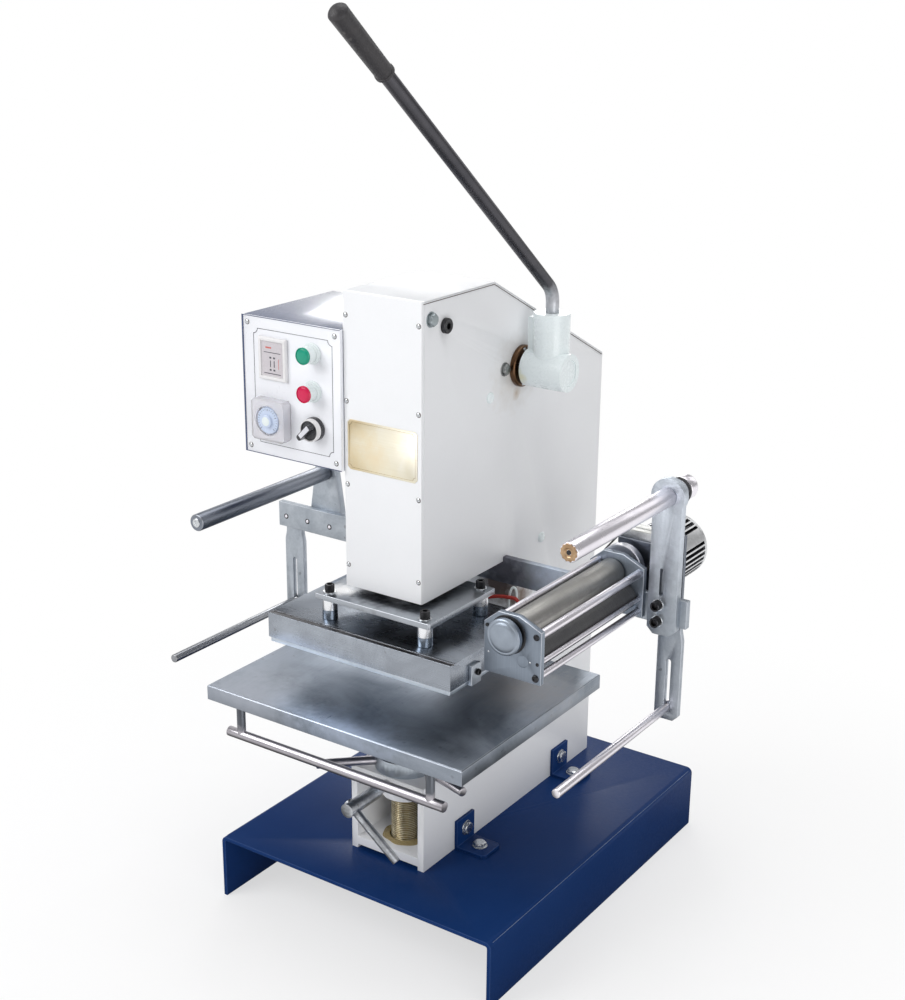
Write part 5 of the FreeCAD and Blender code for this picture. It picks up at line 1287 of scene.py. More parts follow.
@dataclass
class Head(Assembly):
    """Welded frame with its covers, bushes, screws and nameplate."""

    plate_edge: float = 0.9
    screw_rows: tuple[float, ...] = (31.0, 144.5, 258.0, 371.5)
    screw_inset: float = 5.0
    screw_radius: float = 2.9
    screw_sizes: Pairs = ((2.6, 1.4), (7.5, 4.0))
    bush_ring: float = 0.84
    bush_turns: tuple[float, ...] = (100.0, 255.0)
    cap_places: Pairs = ((156.0, 749.5), (298.0, 509.0))
    seam_places: Pairs = ((3.0, 901.6), (162.5, 901.6), (458.0, 750.6))
    seam: float = 0.55
    seam_lift: float = 0.1
    side_flats: tuple[float, ...] = (15.0, 14.0)
    side_spin: float = 0.3
    plate_inset: float = 3.0
    plate_notch: float = 4.0
    plate_line: float = 0.25
    cover_edges: tuple[float, float] = (1.0, 0.5)

    def make(self) -> None:
        """Dresses the weldment, the covers and the small parts on them."""
        shop = self.shop
        shop.dress("frame_weldment", WHITE, width=self.plate_edge)
        shop.dress("front_cover", WHITE, width=self.cover_edges[0])
        shop.dress("top_cover", WHITE_SHADED_TOP, width=self.cover_edges[1])
        shop.dress("shaft_bushes", BUSH_STEEL, steps=3)
        self.make_bush_glint_screws()
        low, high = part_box("front_cover")
        inset = self.screw_inset * MM
        shop.countersunk("cover_screw", self.screws, [
            Seat(Vector((x, low.y, high.z - drop * MM)), -Y_AXIS)
            for x in (low.x + inset, high.x - inset) for drop in self.screw_rows], self.screw_radius)
        caps = [Seat(Vector((high.x, spot(0, y, 0).y, z * MM)), X_AXIS) for y, z in self.cap_places]
        shop.place("side_caps", self.screws.dome_nut(*self.screw_sizes[1]), caps, HUB)
        side = high.x + self.seam_lift * MM
        seam = [Vector((side, spot(0, y, 0).y, z * MM)) for y, z in self.seam_places]
        shop.rule("cover_seam", seam, self.seam, SEAM_AND_SHADE)
        self.make_side_bolts()
        self.make_plug()
        self.make_nameplate()

    def make_bush_glint_screws(self) -> None:
        """Two bright screws in the right bush's flange, set at its glints so that they also paint its
        highlights.
        """
        low, high = bush = max(lumps("shaft_bushes"), key=lambda solid: solid.high.x)
        middle = bush.middle
        radius = (high.z - low.z) / 2 * self.bush_ring
        feet = [Vector((high.x, middle.y + radius * math.cos(turn), middle.z + radius * math.sin(turn)))
                for turn in map(math.radians, self.bush_turns)]
        seats = [Seat(foot, X_AXIS) for foot in feet]
        self.shop.place("bush_screws", self.screws.pan_screw(*self.screw_sizes[0]), seats, ZINC)

    def make_side_bolts(self) -> None:
        """Two bolts in the head's right side, each with a finish of its own."""
        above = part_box("heat_block")[1].z
        heads = sorted((solid for solid in lumps("frame_bolts") if solid.low.z > above),
                       key=lambda solid: solid.low.y)
        for head, finish, flats in zip(heads, (SIDE_BOLT, DULL_BOLT), self.side_flats):
            template = Fasteners(hex_flats=flats, washer=1.0).hex_bolt(2 * head.radius)
            seat = Seat(head.on(0, head.low.x), X_AXIS, 1.0, self.side_spin)
            self.shop.place("side_bolt_" + finish.name, template, [seat], finish)

    def make_plug(self) -> None:
        """Pin of the upper link with its black socket plug."""
        pin = Extent(*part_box("top_pin"))
        long = 2 * pin.radius
        self.shop.turn("top_pin_plug", (
            (0.0, 9.0), (long - 6.0, 9.0), (long - 6.0, 10.0), (long - 1.0, 10.0), (long, 9.0), (long, 5.2),
            (long - 0.4, 4.0, HEX), (long - 4.0, 4.0, HEX), (long - 4.0, TIP)),
            pin.on(0, pin.low.x), OXIDE, Body.FRAME, "top_pin", axis=X_AXIS, steps=64)

    def make_nameplate(self) -> None:
        """Bare plate with a pressed border line."""
        self.shop.dress("nameplate", GOLD, width=0.25, steps=1)
        low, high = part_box("nameplate")
        inset = self.plate_inset * MM
        path = notched(low.x + inset, high.x - inset, low.z + inset, high.z - inset, low.y,
                       self.plate_notch * MM)
        self.shop.rule("nameplate_line", path, self.plate_line, GOLD_LINE, closed=True)


@dataclass
class WorkTable(Assembly):
    """Table on its height screw, with the rail, the capstan nut and the lock screw."""

    thread_radius: float = 20.5
    thread_depth: float = 1.3
    pitch: float = 2.9
    thread_top: float = 300.0
    thread_sharp: float = 40.0
    flange: float = 12.0
    flange_radius: float = 48.0
    pocket_floor: float = 117.0

    def make(self) -> None:
        """Dresses everything that lifts or clamps the table."""
        for node, finish, body, width in (
                ("work_table", TABLE_STEEL, Body.TABLE, 0.5), ("front_rail", CHROME_X, Body.TABLE, 0.8),
                ("capstan_nut", DIE_LIP, Body.CAPSTAN, 1.5), ("capstan_bars", CHROME_X, Body.CAPSTAN, 1.2),
                ("lock_screw", LOCK_STEEL, Body.LOCK, 1.0)):
            self.shop.dress(node, finish, body, width)
        self.make_screw()
        self.make_grease()

    def make_screw(self) -> None:
        """Height screw: a helical thread under a plain flange and spigot."""
        low, high = screw = Extent(*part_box("height_screw"))
        axis = screw.on(2, 0.0)
        length = self.thread_top * MM - low.z
        repeater = self.shop.repeater
        made = repeater.run(repeater.thread, linked("height_screw_thread"), {
            "Radius": self.thread_radius * MM, "Depth": self.thread_depth * MM, "Pitch": self.pitch * MM,
            "Length": length, "Material": self.shop.material(BRASS)})
        made.data.transform(Matrix.Translation(axis + Z_AXIS * (low.z + length / 2)))
        smooth_faces(made.data, self.thread_sharp)
        self.shop.hand_over(made, BRASS, Body.TABLE, "height_screw")
        top, table = self.thread_radius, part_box("work_table")[0].z / MM
        foot, wide = table - self.flange, self.flange_radius
        self.shop.turn("height_screw_flange", (
            (self.thread_top, top), (foot, top), (foot, wide - 1.0), (foot + 1.0, wide), (table, wide),
            (table, top), (high.z / MM, top)),
            axis, GROUND, Body.TABLE, axis=Z_AXIS, steps=64)

    def make_grease(self) -> None:
        """Ring of old grease where the screw goes through the pocket's floor."""
        blot = Shape.BLOT
        self.shop.turn("screw_grease", (
            (0.0, 32.0, blot), (0.5, 31.6, blot), (1.3, 28.6, blot), (2.4, 25.6), (2.6, 23.0), (2.0, 22.6),
            (0.0, 22.6)), Extent(*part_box("height_screw")).on(2, self.pocket_floor * MM), GREASE,
            axis=Z_AXIS, steps=96)


@dataclass
class PressHead(Assembly):
    """Ram, its plate, the standoffs and the heated block with its die plate."""

    washer_radius: float = 9.0
    washer: float = 1.8
    groove_back: float = 6.0
    groove_width: float = 3.0
    groove_depth: float = 1.5
    # sizes of the dark strips that paint the groove's shadow
    edge_clear: float = 0.4
    strip_gap: float = 0.2
    shadow_thick: float = 0.4
    film: float = 0.12
    stain: float = 2.2
    bright_from: float = 0.46
    screw_spin: float = 0.7
    latch_place: tuple[float, float] = (2.0, 16.5)
    latch_screw: Point = (4.4, 4.0, 4.6)
    lead_radii: tuple[float, float] = (2.6, 1.6)
    red_lead: tuple[Point, ...] = ((60.0, 132.0, 456.0), (68.0, 140.0, 467.0), (84.0, 146.0, 472.0),
                                   (102.0, 147.0, 475.0), (118.0, 147.0, 474.0), (128.0, 145.0, 456.0))
    pale_lead: tuple[Point, ...] = ((103.0, 150.0, 456.0), (103.0, 151.0, 476.0), (107.0, 152.0, 488.0),
                                    (113.0, 152.0, 487.0), (115.0, 151.0, 474.0), (115.0, 150.0, 456.0))

    def make(self) -> None:
        """Dresses the moving press head."""
        shop = self.shop
        for node, finish, width in (("ram", CHROME_Z, 0.8), ("ram_plate", RAM_STEEL, 0.6),
                                    ("heat_block", HOT_STEEL, 0.3), ("die_plate", DIE_LIP, 0.8),
                                    ("die_latch", GROUND, 0.8)):
            shop.dress(node, finish, Body.PRESS, width)
        self.make_standoffs()
        self.make_screws()
        self.make_groove()
        low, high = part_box("die_latch")
        back, up = (size * MM for size in self.latch_place)
        seat = Seat(Vector((high.x, (low.y + high.y) / 2 + back, low.z + up)), X_AXIS)
        shop.place("latch_screw", self.screws.cap_screw(*self.latch_screw), [seat], OXIDE, Body.PRESS)
        leads = (("heater_lead_red", self.red_lead, RED_SLEEVE),
                 ("heater_lead_pale", self.pale_lead, WHITE_PLASTIC))
        for radius, (name, knots, finish) in zip(self.lead_radii, leads):
            path = [spot(*point) for point in smoothed(knots)]
            shop.rule(name, path, radius, finish, Body.PRESS).data.shade_smooth()

    def make_groove(self) -> None:
        """Painted shadow: dark strips in the groove behind the block's front edge and on the top either side
        of it.
        """
        low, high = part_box("heat_block")
        front = low.y + self.groove_back * MM
        back = front + self.groove_width * MM
        floor = high.z - self.groove_depth * MM
        gap = self.strip_gap * MM
        for name, near, far, base, thick, finish in (
                ("groove_residue", front, back, floor, self.shadow_thick, SEAM_AND_SHADE),
                ("edge_residue", low.y + self.edge_clear * MM, front - gap, high.z, self.film, GROOVE_SHADE),
                ("groove_stain", back + gap, back + self.stain * MM, high.z, self.film, GROOVE_SHADE)):
            strip = slab(name, level(low.x, high.x, near, far, base), Z_AXIS * thick * MM)
            self.shop.hand_over(strip, finish, Body.PRESS)

    def make_standoffs(self) -> None:
        """Turned standoffs: a darker bluish lower half paints the reflection of the dark block under a
        bright chrome top.
        """
        posts = lumps("standoffs")
        tall, wide = posts[0].tall, posts[0].radius
        seats = [Seat(post.bottom, Z_AXIS) for post in posts]
        bright_start = tall * self.bright_from
        post = turned("standoff", (
            (0.0, wide - 0.8), (0.8, wide), (bright_start - 0.4, wide), (bright_start, wide - 0.6)))
        self.shop.place("standoffs_turned", post, seats, STANDOFF_SHADED, Body.PRESS, "standoffs")
        upper = turned("standoff_collar", (
            (bright_start, wide - 0.6), (bright_start + 0.4, wide), (tall - 0.8, wide), (tall, wide - 0.8)))
        self.shop.place("standoff_collars", upper, seats, CHROME_Z, Body.PRESS)

    def make_screws(self) -> None:
        """Black cap screws on bright washers."""
        heads = lumps("ram_screws")
        radius, washer = heads[0].radius, self.washer
        self.shop.place("ram_washers", self.screws.washer_ring(self.washer_radius, washer),
                        [Seat(head.bottom, Z_AXIS) for head in heads], ZINC, Body.PRESS)
        seats = [Seat(head.bottom + Z_AXIS * washer * MM, Z_AXIS, 1.0, self.screw_spin * index)
                 for index, head in enumerate(heads)]
        self.shop.place("ram_cap_screws", self.screws.cap_screw(radius, heads[0].tall - washer, radius),
                        seats, OXIDE, Body.PRESS, "ram_screws")


@dataclass
class FoilArms(Assembly):
    """Cross bar with the arms and rods that guide the foil."""

    bar_holes: Pairs = ((-334.5, 488.0), (-292.7, 488.0), (-249.7, 488.0))
    slot_x: tuple[float, float] = (315.4, 319.0)
    slot_z: tuple[float, float] = (514.5, 554.5)
    slot_shadow: float = 0.6
    washer: tuple[float, float] = (0.4, 1.2)
    sink: tuple[float, float] = (4.2, 0.35)
    plug: tuple[float, float] = (2.6, 0.8)
    screw_share: float = 0.86
    screw_spin: float = 0.9

    def make(self) -> None:
        """Dresses the bar, the arms and the rods."""
        for node, finish, body, width in (
                ("cross_bar", GREY_ARM, Body.FRAME, 0.8), ("left_arm", GREY_ARM, Body.FRAME, 0.8),
                ("right_arm", GREY_ARM, Body.FRAME, 1.0), ("left_drop_arm", GREY_ARM, Body.FRAME, 0.8),
                ("right_drop_arm", GREY_ARM, Body.FRAME, 0.8),
                ("unwind_shaft", UNWIND_STEEL, Body.UNWIND, 1.2),
                ("left_guide_rod", GUIDE_STEEL, Body.GUIDE_LEFT, 0.8),
                ("right_guide_rod", CHROME_Y, Body.GUIDE_RIGHT, 0.8),
                ("rewind_shaft", CHROME_Y, Body.REWIND, 0.8),
                ("rewind_pulley", PULLEY_STEEL, Body.REWIND, 0.8)):
            self.shop.dress(node, finish, body, width)
        self.make_ends()
        self.make_screws()

    def make_ends(self) -> None:
        """Scalloped copper ring in the rewind shaft's front end and screw in the unwind shaft's."""
        scallop = Shape.SCALLOPED
        rewind = Extent(*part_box("rewind_shaft")).front
        self.shop.turn("rewind_end_ring", (
            (-1.0, 11.6, scallop), (0.8, 11.6, scallop), (1.2, 10.4), (1.2, 6.0), (0.5, 5.0), (0.5, 3.4),
            (-0.6, 3.2), (-0.6, TIP)), rewind, COPPER, Body.REWIND, steps=96)
        self.shop.turn("rewind_end_bore", ((0.0, 3.0), (0.55, 3.0), (0.6, 2.6), (0.6, TIP)), rewind, OXIDE,
                       Body.REWIND, steps=36)
        unwind = Extent(*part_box("unwind_shaft")).front
        self.shop.turn("unwind_end_screw", (
            (-0.5, 6.5), (0.8, 6.5), (1.2, 6.0), (1.2, 3.2), (0.2, 2.6, HEX), (0.0, TIP)), unwind, ZINC,
            Body.UNWIND, steps=48)

    def make_screws(self) -> None:
        """Cap screws of the right arm, the holes in the bar and a dark strip that paints the shadow in its
        slot.
        """
        shop, screws = self.shop, self.screws
        heads = lumps("arm_screws")
        radius = heads[0].radius
        seats = [Seat(head.back, -Y_AXIS, 1.0, self.screw_spin * index) for index, head in enumerate(heads)]
        caps = screws.cap_screw(radius * self.screw_share, heads[0].deep, radius)
        shop.place("arm_cap_screws", caps, seats, OXIDE, Body.FRAME, "arm_screws")
        margin, thick = self.washer
        shop.place("arm_washers", screws.washer_ring(radius + margin, thick), seats, ZINC)
        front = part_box("cross_bar")[0].y
        holes = [Seat(Vector((x * MM, front, z * MM)), -Y_AXIS) for x, z in self.bar_holes]
        shop.place("bar_hole_sinks", screws.washer_ring(*self.sink), holes, OXIDE)
        shop.place("bar_hole_plugs", screws.dome_nut(*self.plug), holes, CHROME_Y)
        slot = upright(*(place * MM for place in (*self.slot_x, *self.slot_z)), front)
        shop.hand_over(slab("slot_lining", slot, -Y_AXIS * self.slot_shadow * MM), SEAM_AND_SHADE, Body.FRAME)


@dataclass
class FeedUnit(Assembly):
    """Roller unit with its knob, pulleys, belt and geared motor."""

    plate_screws: tuple[Point, ...] = (
        (281.0, 538.0, 1.0), (281.0, 484.0, 1.15), (283.0, 503.0, 0.55), (210.5, 537.5, 0.6))
    plate_screw: Point = (4.2, 2.0, 4.2)
    plate_spin: float = 0.5
    plate_pin: tuple[float, float] = (1.2, 0.6)
    plate_pins: Pairs = ((213.0, 502.4), (272.7, 503.0))
    lids: Pairs = ((1.0, 11.0), (14.0, 28.0))
    lid_inset: float = 9.5
    lid: float = 0.8
    lid_round: float = 0.2
    knob_gap: float = 4.5
    belt_share: float = 0.5
    seat_place: tuple[float, float] = (262.0, 502.0)
    shadow_line_place: tuple[float, float] = (224.2, 543.2)
    shadow_line_inset: float = 9.0
    shadow_line: float = 1.0
    fin_tip: float = 0.8
    end_bell: float = 12.0

    def make(self) -> None:
        """Dresses the feed unit."""
        shop, screws = self.shop, self.screws
        for node, finish, body, width in (
                ("feed_plates", FEED_PLATE, Body.FRAME, 0.7), ("feed_tie_rods", CHROME_Y, Body.FRAME, 0.4),
                ("drive_roller", DRIVE_STEEL, Body.FEED, 0.8), ("nip_roller", ROLLER_RUBBER, Body.NIP, 0.8),
                ("motor_bracket", PLATE_STEEL, Body.FRAME, 0.8)):
            shop.dress(node, finish, body, width)
        self.make_motor()
        self.make_gearbox_lids()
        self.make_belt()
        self.make_knob()
        self.make_pulley()
        self.make_roller_shadow_line()
        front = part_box("feed_plates")[0].y
        seats = [Seat(Vector((x * MM, front, z * MM)), -Y_AXIS, size, self.plate_spin)
                 for x, z, size in self.plate_screws]
        shop.place("feed_plate_screws", screws.cap_screw(*self.plate_screw), seats, OXIDE)
        seats = [Seat(Vector((x * MM, front, z * MM)), -Y_AXIS) for x, z in self.plate_pins]
        shop.place("feed_plate_pins", screws.dome_nut(*self.plate_pin), seats, ZINC)
        x, z = self.seat_place
        shop.turn("nip_seat_cap", ((0.0, 8.2), (0.1, 8.0), (0.3, 7.0), (0.3, TIP)),
                  Vector((x * MM, front, z * MM)), FEED_PLATE, steps=64)

    def make_motor(self) -> None:
        """Motor and gearbox, bright but for the grooves between the fins, which are painted dark as shade.
        """
        made = self.shop.dress("feed_motor", MOTOR_SHADED_GROOVES, width=0.5)
        low, high = motor = max(lumps("feed_motor"), key=lambda solid: solid.high.y)
        middle = motor.middle
        rim = (high.x - low.x) / 2 - self.fin_tip * MM
        marks = []
        for face in made.data.polygons:
            away = math.hypot(face.center.x - middle.x, face.center.z - middle.z)
            finned = low.y < face.center.y < high.y - self.end_bell * MM
            marks.append(0.0 if finned and away < rim else 1.0)
        made.data.attributes["edge"].data.foreach_set("value", marks)

    def make_belt(self) -> None:
        """Belt, slimmer than its solid."""
        belt = self.shop.dress("drive_belt", BELT, width=0.3)
        low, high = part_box("drive_belt")
        middle = Matrix.Translation(Vector((0, (low.y + high.y) / 2, 0)))
        belt.data.transform(middle @ Matrix.Diagonal((1, self.belt_share, 1, 1)) @ middle.inverted())

    def make_roller_shadow_line(self) -> None:
        """Dark line between the upper tie rod and the drive roller, painted as shadow."""
        low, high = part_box("feed_tie_rods")
        x, z = self.shadow_line_place
        inset = self.shadow_line_inset * MM
        path = [Vector((x * MM, y, z * MM)) for y in (low.y + inset, high.y - inset)]
        self.shop.rule("roller_wiper", path, self.shadow_line, BELT)

    def make_gearbox_lids(self) -> None:
        """Two ground joint plates on the gearbox's top."""
        low, high = min(lumps("feed_motor"), key=lambda solid: solid.low.y)
        inset = self.lid_inset * MM
        for index, (front, back) in enumerate(self.lids):
            outline = level(low.x + inset, high.x - inset, low.y + front * MM, low.y + back * MM, high.z)
            lid = slab(f"gearbox_lid_{index + 1}", outline, Z_AXIS * self.lid * MM, self.lid_round)
            self.shop.hand_over(lid, SILVER_PAINT, Body.FRAME)

    def make_knob(self) -> None:
        """Turned knob on a neck, with a stepped rim and a domed middle, over a dark ring that paints its
        shadow.
        """
        knob = Extent(*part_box("feed_knob"))
        thick, wide, gap = knob.deep, knob.radius, self.knob_gap
        self.shop.turn("feed_knob_turned", (
            (0.0, 11.0), (gap, 11.0), (gap, wide - 1.2), (gap + 0.8, wide), (thick - 3.0, wide),
            (thick - 2.2, wide - 0.8), (thick - 1.6, wide - 3.4), (thick - 1.9, wide - 4.2),
            (thick - 0.8, wide - 6.4), (thick - 0.2, wide - 9.0), (thick, wide - 13.0), (thick, TIP)),
            knob.back, TURNED, Body.FEED, "feed_knob", steps=96)
        # painted shadow: a dark ring on the plate round the knob
        self.shop.turn("feed_knob_recess", (
            (0.0, wide + 1.6), (0.25, wide + 1.6), (0.5, wide + 1.2), (0.5, 9.0), (0.0, 9.0)),
            knob.on(1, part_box("feed_plates")[0].y), OXIDE, steps=96)

    def make_pulley(self) -> None:
        """Drive pulley with turned rings on both faces."""
        pulley = Extent(*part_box("drive_pulley"))
        thick, wide = pulley.deep, pulley.radius
        self.shop.turn("drive_pulley_turned", (
            (0.0, 7.0), (0.0, wide - 3.0), (1.0, wide), (thick - 1.0, wide), (thick, wide - 1.0),
            (thick, wide - 5.0), (thick - 1.2, wide - 6.0), (thick - 1.2, 13.0), (thick, 12.0),
            (thick, 6.1)), pulley.back, PULLEY_STEEL, Body.FEED, "drive_pulley", steps=96)


@dataclass
class ControlBox(Assembly):
    """Sheet box with its panel, timer, lamps, selector and thermostat."""

    screw_inset: float = 9.5
    screw_radius: float = 3.1
    line_inset: float = 19.0
    line_shares: tuple[float, ...] = (1.05, 0.72, 0.9, 0.85)
    line_notch: float = 7.0
    line: float = 0.45
    lip: float = 0.9
    lip_left: float = 2.6
    lip_right: float = 0.1
    lip_rise: float = 0.6
    turn: float = 0.15
    turn_gap: float = 0.1
    card_sink: float = 1.9
    card_inset: float = 6.0
    card: float = 0.4
    ink: float = 0.12
    bar_width: float = 0.8
    bars: Pairs = ((0.38, 0.9), (-0.86, 1.1))
    columns: tuple[float, ...] = (-0.18, 0.18)
    column_marks: tuple[Point, ...] = ((-0.28, 0.7, 4.5), (0.08, 1.6, 1.2), (-0.64, 1.6, 1.2))
    red_marks: tuple[tuple[float, ...], ...] = ((-0.35, 0.66, 5.0, 1.1), (0.6, -0.25, 0.4, 7.0))
    pointer_lean: float = -135.0
    pointer: tuple[float, ...] = (11.0, 3.4, 9.5, 3.0)
    pointer_rise: float = 0.6
    pointer_round: float = 0.2
    ticks: int = 21
    tick_from: float = 225.0
    tick_step: float = 13.5
    tick_end: float = 2.4
    tick_face: float = 4.45
    tick_sizes: Pairs = ((0.7, 5.4), (0.4, 4.6))

    def make(self) -> None:
        """Dresses the box and every instrument on it."""
        self.shop.dress("control_box", BOX_NAVY)
        self.shop.dress("control_panel", PANEL, width=0.4, steps=1)
        self.make_panel_trim()
        low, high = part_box("control_box")
        self.corner_screws("back_screw", low, high, high.y, Y_AXIS)
        self.make_timer()
        self.make_lamps()
        self.make_selector()
        self.make_thermostat()

    def corner_screws(self, name: str, low: Vector, high: Vector, y: float, aim: Vector) -> None:
        """Sets a countersunk screw in each corner of a face.

        Args:
            name: Name of the screws.
            low: Lowest corner of the plate.
            high: Highest corner of the plate.
            y: The face.
            aim: Direction that the screws face.
        """
        inset = self.screw_inset * MM
        seats = [Seat(Vector((x, y, z)), aim) for x in (low.x + inset, high.x - inset)
                 for z in (low.z + inset, high.z - inset)]
        self.shop.countersunk(name, self.screws, seats, self.screw_radius)

    def make_panel_trim(self) -> None:
        """Corner screws, the dark border line with scooped corners, and the lip round the panel."""
        low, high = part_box("control_panel")
        self.corner_screws("panel_screw", low, high, low.y, -Y_AXIS)
        left, right, foot, top = (self.line_inset * share * MM for share in self.line_shares)
        path = notched(low.x + left, high.x - right, low.z + foot, high.z - top, low.y, self.line_notch * MM)
        self.shop.rule("panel_line", path, self.line, INK, closed=True)
        mesh = bmesh.new()
        edge = self.lip * MM
        rings = [[mesh.verts.new(corner) for corner in upright(*sides, low.y)] for sides in (
            (low.x, high.x, low.z, high.z),
            (low.x + self.lip_left * MM, high.x - self.lip_right * MM, low.z + edge, high.z - edge))]
        for index in range(4):
            after = (index + 1) % 4
            mesh.faces.new((rings[0][index], rings[0][after], rings[1][after], rings[1][index]))
        raise_faces(mesh, mesh.faces, -Y_AXIS * self.lip_rise * MM)
        self.shop.hand_over(finished("panel_lip", mesh), BOX_NAVY, Body.FRAME)
        gap = self.turn_gap * MM
        near, back = low.y - self.lip_rise * MM - gap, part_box("front_cover")[0].y - gap
        strip = slab("panel_turn", [Vector((high.x, y, z)) for y, z in (
            (near, low.z), (back, low.z), (back, high.z), (near, high.z))], X_AXIS * self.turn * MM)
        self.shop.hand_over(strip, PANEL, Body.FRAME)

    def make_timer(self) -> None:
        """Timer with a printed face."""
        self.shop.dress("timer", TIMER_CASE, width=0.5)
        low, high = timer = Extent(*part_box("timer"))
        middle = timer.middle
        face = low.y + self.card_sink * MM
        top = face - self.card * MM
        inset = self.card_inset * MM
        wide, tall = (high.x - low.x) / 2 - inset, (high.z - low.z) / 2 - inset
        card = slab("timer_card", around(middle.x, middle.z, wide, tall, face), -Y_AXIS * self.card * MM)
        self.shop.hand_over(card, TIMER_FACE, Body.FRAME)
        marks = [(0.0, share, self.bar_width * wide / MM, thick / 2) for share, thick in self.bars]
        marks += [(column, *mark) for column in self.columns for mark in self.column_marks]
        groups = (("timer_marks", marks, INK), ("timer_red_marks", self.red_marks, TIMER_RED))
        for name, bars, finish in groups:
            outlines = [around(middle.x + across * wide, middle.z + up * tall, half * MM, rise * MM, top)
                        for across, up, half, rise in bars]
            self.shop.hand_over(slabs(name, outlines, -Y_AXIS * self.ink * MM), finish, Body.FRAME)

    def make_lamps(self) -> None:
        """White bezels with domed lamp caps in white sleeves."""
        shop = self.shop
        bezels = lumps("lamp_bezels")
        radius, thick = bezels[0].radius, bezels[0].deep
        template = turned("bezel", (
            (0.0, radius - 0.4), (0.5, radius), (2.0, radius), (2.4, radius - 1.2),
            (thick - 0.6, radius - 1.6), (thick, radius - 2.2), (thick, TIP)), steps=72)
        shop.place("lamp_bezel_rings", template, [Seat(bezel.back, -Y_AXIS) for bezel in bezels],
                   WHITE_PLASTIC, Body.FRAME, "lamp_bezels")
        for node, finish in (("green_lens", GREEN), ("red_lens", RED)):
            lens = Extent(*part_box(node))
            wide, deep = lens.radius, lens.deep
            shop.turn(node + "_sleeve", (
                (0.2, wide), (deep - 4.2, wide), (deep - 3.8, wide - 0.4), (deep - 3.8, wide - 1.2),
                (0.2, wide - 1.2)), lens.back, WHITE_PLASTIC)
            dome = [(deep - 1.5 + 1.5 * math.sin(math.radians(step * 9)),
                     (wide - 1.6) * math.cos(math.radians(step * 8.9))) for step in range(1, 11)]
            shop.turn(node + "_dome", (
                (0.0, wide - 1.3), (deep - 3.6, wide - 1.3), (deep - 3.5, wide - 0.1),
                (deep - 1.2, wide - 0.1), (deep - 0.5, wide - 0.7), (deep - 0.5, wide - 1.2),
                (deep - 1.5, wide - 1.4), *dome),
                lens.back, finish, Body.FRAME, node)

    def make_selector(self) -> None:
        """Selector switch: black flange and grip, pale ring and pointer."""
        shop = self.shop
        base = Extent(*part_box("selector_base"))
        radius, thick, foot = base.radius, base.deep, base.back
        shop.turn("selector_flange", (
            (0.0, radius - 0.5), (0.6, radius), (thick - 0.6, radius), (thick, radius - 0.6), (thick, TIP)),
            foot, BLACK, Body.FRAME, "selector_base")
        shop.turn("selector_ring", (
            (thick, radius - 1.2), (thick + 0.5, radius - 0.7), (thick + 7.0, radius - 0.7),
            (thick + 7.8, radius - 1.2), (thick + 7.8, radius - 2.6), (thick, radius - 2.6)),
            foot, TIMER_CASE)
        shop.dress("selector_knob", BLACK, Body.SELECTOR, 1.0, 3)
        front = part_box("selector_knob")[0].y
        lean = math.radians(self.pointer_lean)
        along = Vector((math.cos(lean), 0, math.sin(lean)))
        across = Vector((-math.sin(lean), 0, math.cos(lean)))
        tip = Vector((foot.x, front, foot.z))
        near, near_half, far, far_half = (size * MM for size in self.pointer)
        pointer = slab("selector_pointer", [
            tip - along * near - across * near_half, tip + along * far - across * far_half,
            tip + along * far + across * far_half, tip - along * near + across * near_half],
            -Y_AXIS * self.pointer_rise * MM, self.pointer_round)
        shop.hand_over(pointer, PULLEY_STEEL, Body.SELECTOR)

    def make_thermostat(self) -> None:
        """Clear hood over a ribbed dial with tick marks."""
        shop = self.shop
        shop.dress("thermostat_hood", CLEAR, width=1.2, steps=3)
        knurl = Shape.KNURLED
        dial = Extent(*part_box("thermostat_dial"))
        wide, deep, foot = dial.radius, dial.deep, dial.back
        shop.turn("thermostat_dial_turned", (
            (0.0, wide - 0.6, knurl), (deep - 6.0, wide - 0.4, knurl), (deep - 4.6, wide - 1.6),
            (deep - 4.4, wide - 5.0), (deep - 4.0, 9.0), (deep - 0.8, 8.6), (deep - 0.3, 7.6),
            (deep - 0.3, TIP)), foot, DIAL, Body.THERMOSTAT, "thermostat_dial", steps=144)
        shop.turn("thermostat_cap", ((deep - 0.4, 6.4), (deep, 5.8), (deep, TIP)), foot, WHITE_PLASTIC,
                  Body.THERMOSTAT, steps=48)
        centre = dial.on(1, dial.high.y - (deep - self.tick_face) * MM)
        outlines = []
        for index in range(self.ticks):
            angle = math.radians(self.tick_from - self.tick_step * index)
            half, start = self.tick_sizes[bool(index % 5)]
            out = Vector((math.cos(angle), 0, math.sin(angle)))
            side = Vector((-out.z, 0, out.x)) * (half * MM)
            inner, outer = (centre + out * (wide - inset) * MM for inset in (start, self.tick_end))
            outlines.append((inner - side, outer - side, outer + side, inner + side))
        ticks = slabs("thermostat_ticks", outlines, -Y_AXIS * self.ink * MM)
        shop.hand_over(ticks, DIAL_INK, Body.THERMOSTAT)


@dataclass
class Lever(Assembly):
    """Hand lever with its cast hub, and the toggle inside the head."""

    hub_round: float = 3.0

    def make(self) -> None:
        """Dresses the lever and the linkage."""
        shop = self.shop
        shop.dress("lever_hub", HUB, Body.HANDLE, self.hub_round, 4)
        shop.dress("lever_rod", LEVER_STEEL, Body.HANDLE)
        shop.dress("lever_grip", GRIP, Body.HANDLE, 1.0, 3)
        for node in ("crankshaft", "connecting_link", "upper_link", "lower_link", "return_spring"):
            shop.recolour(node, DARK_STEEL)


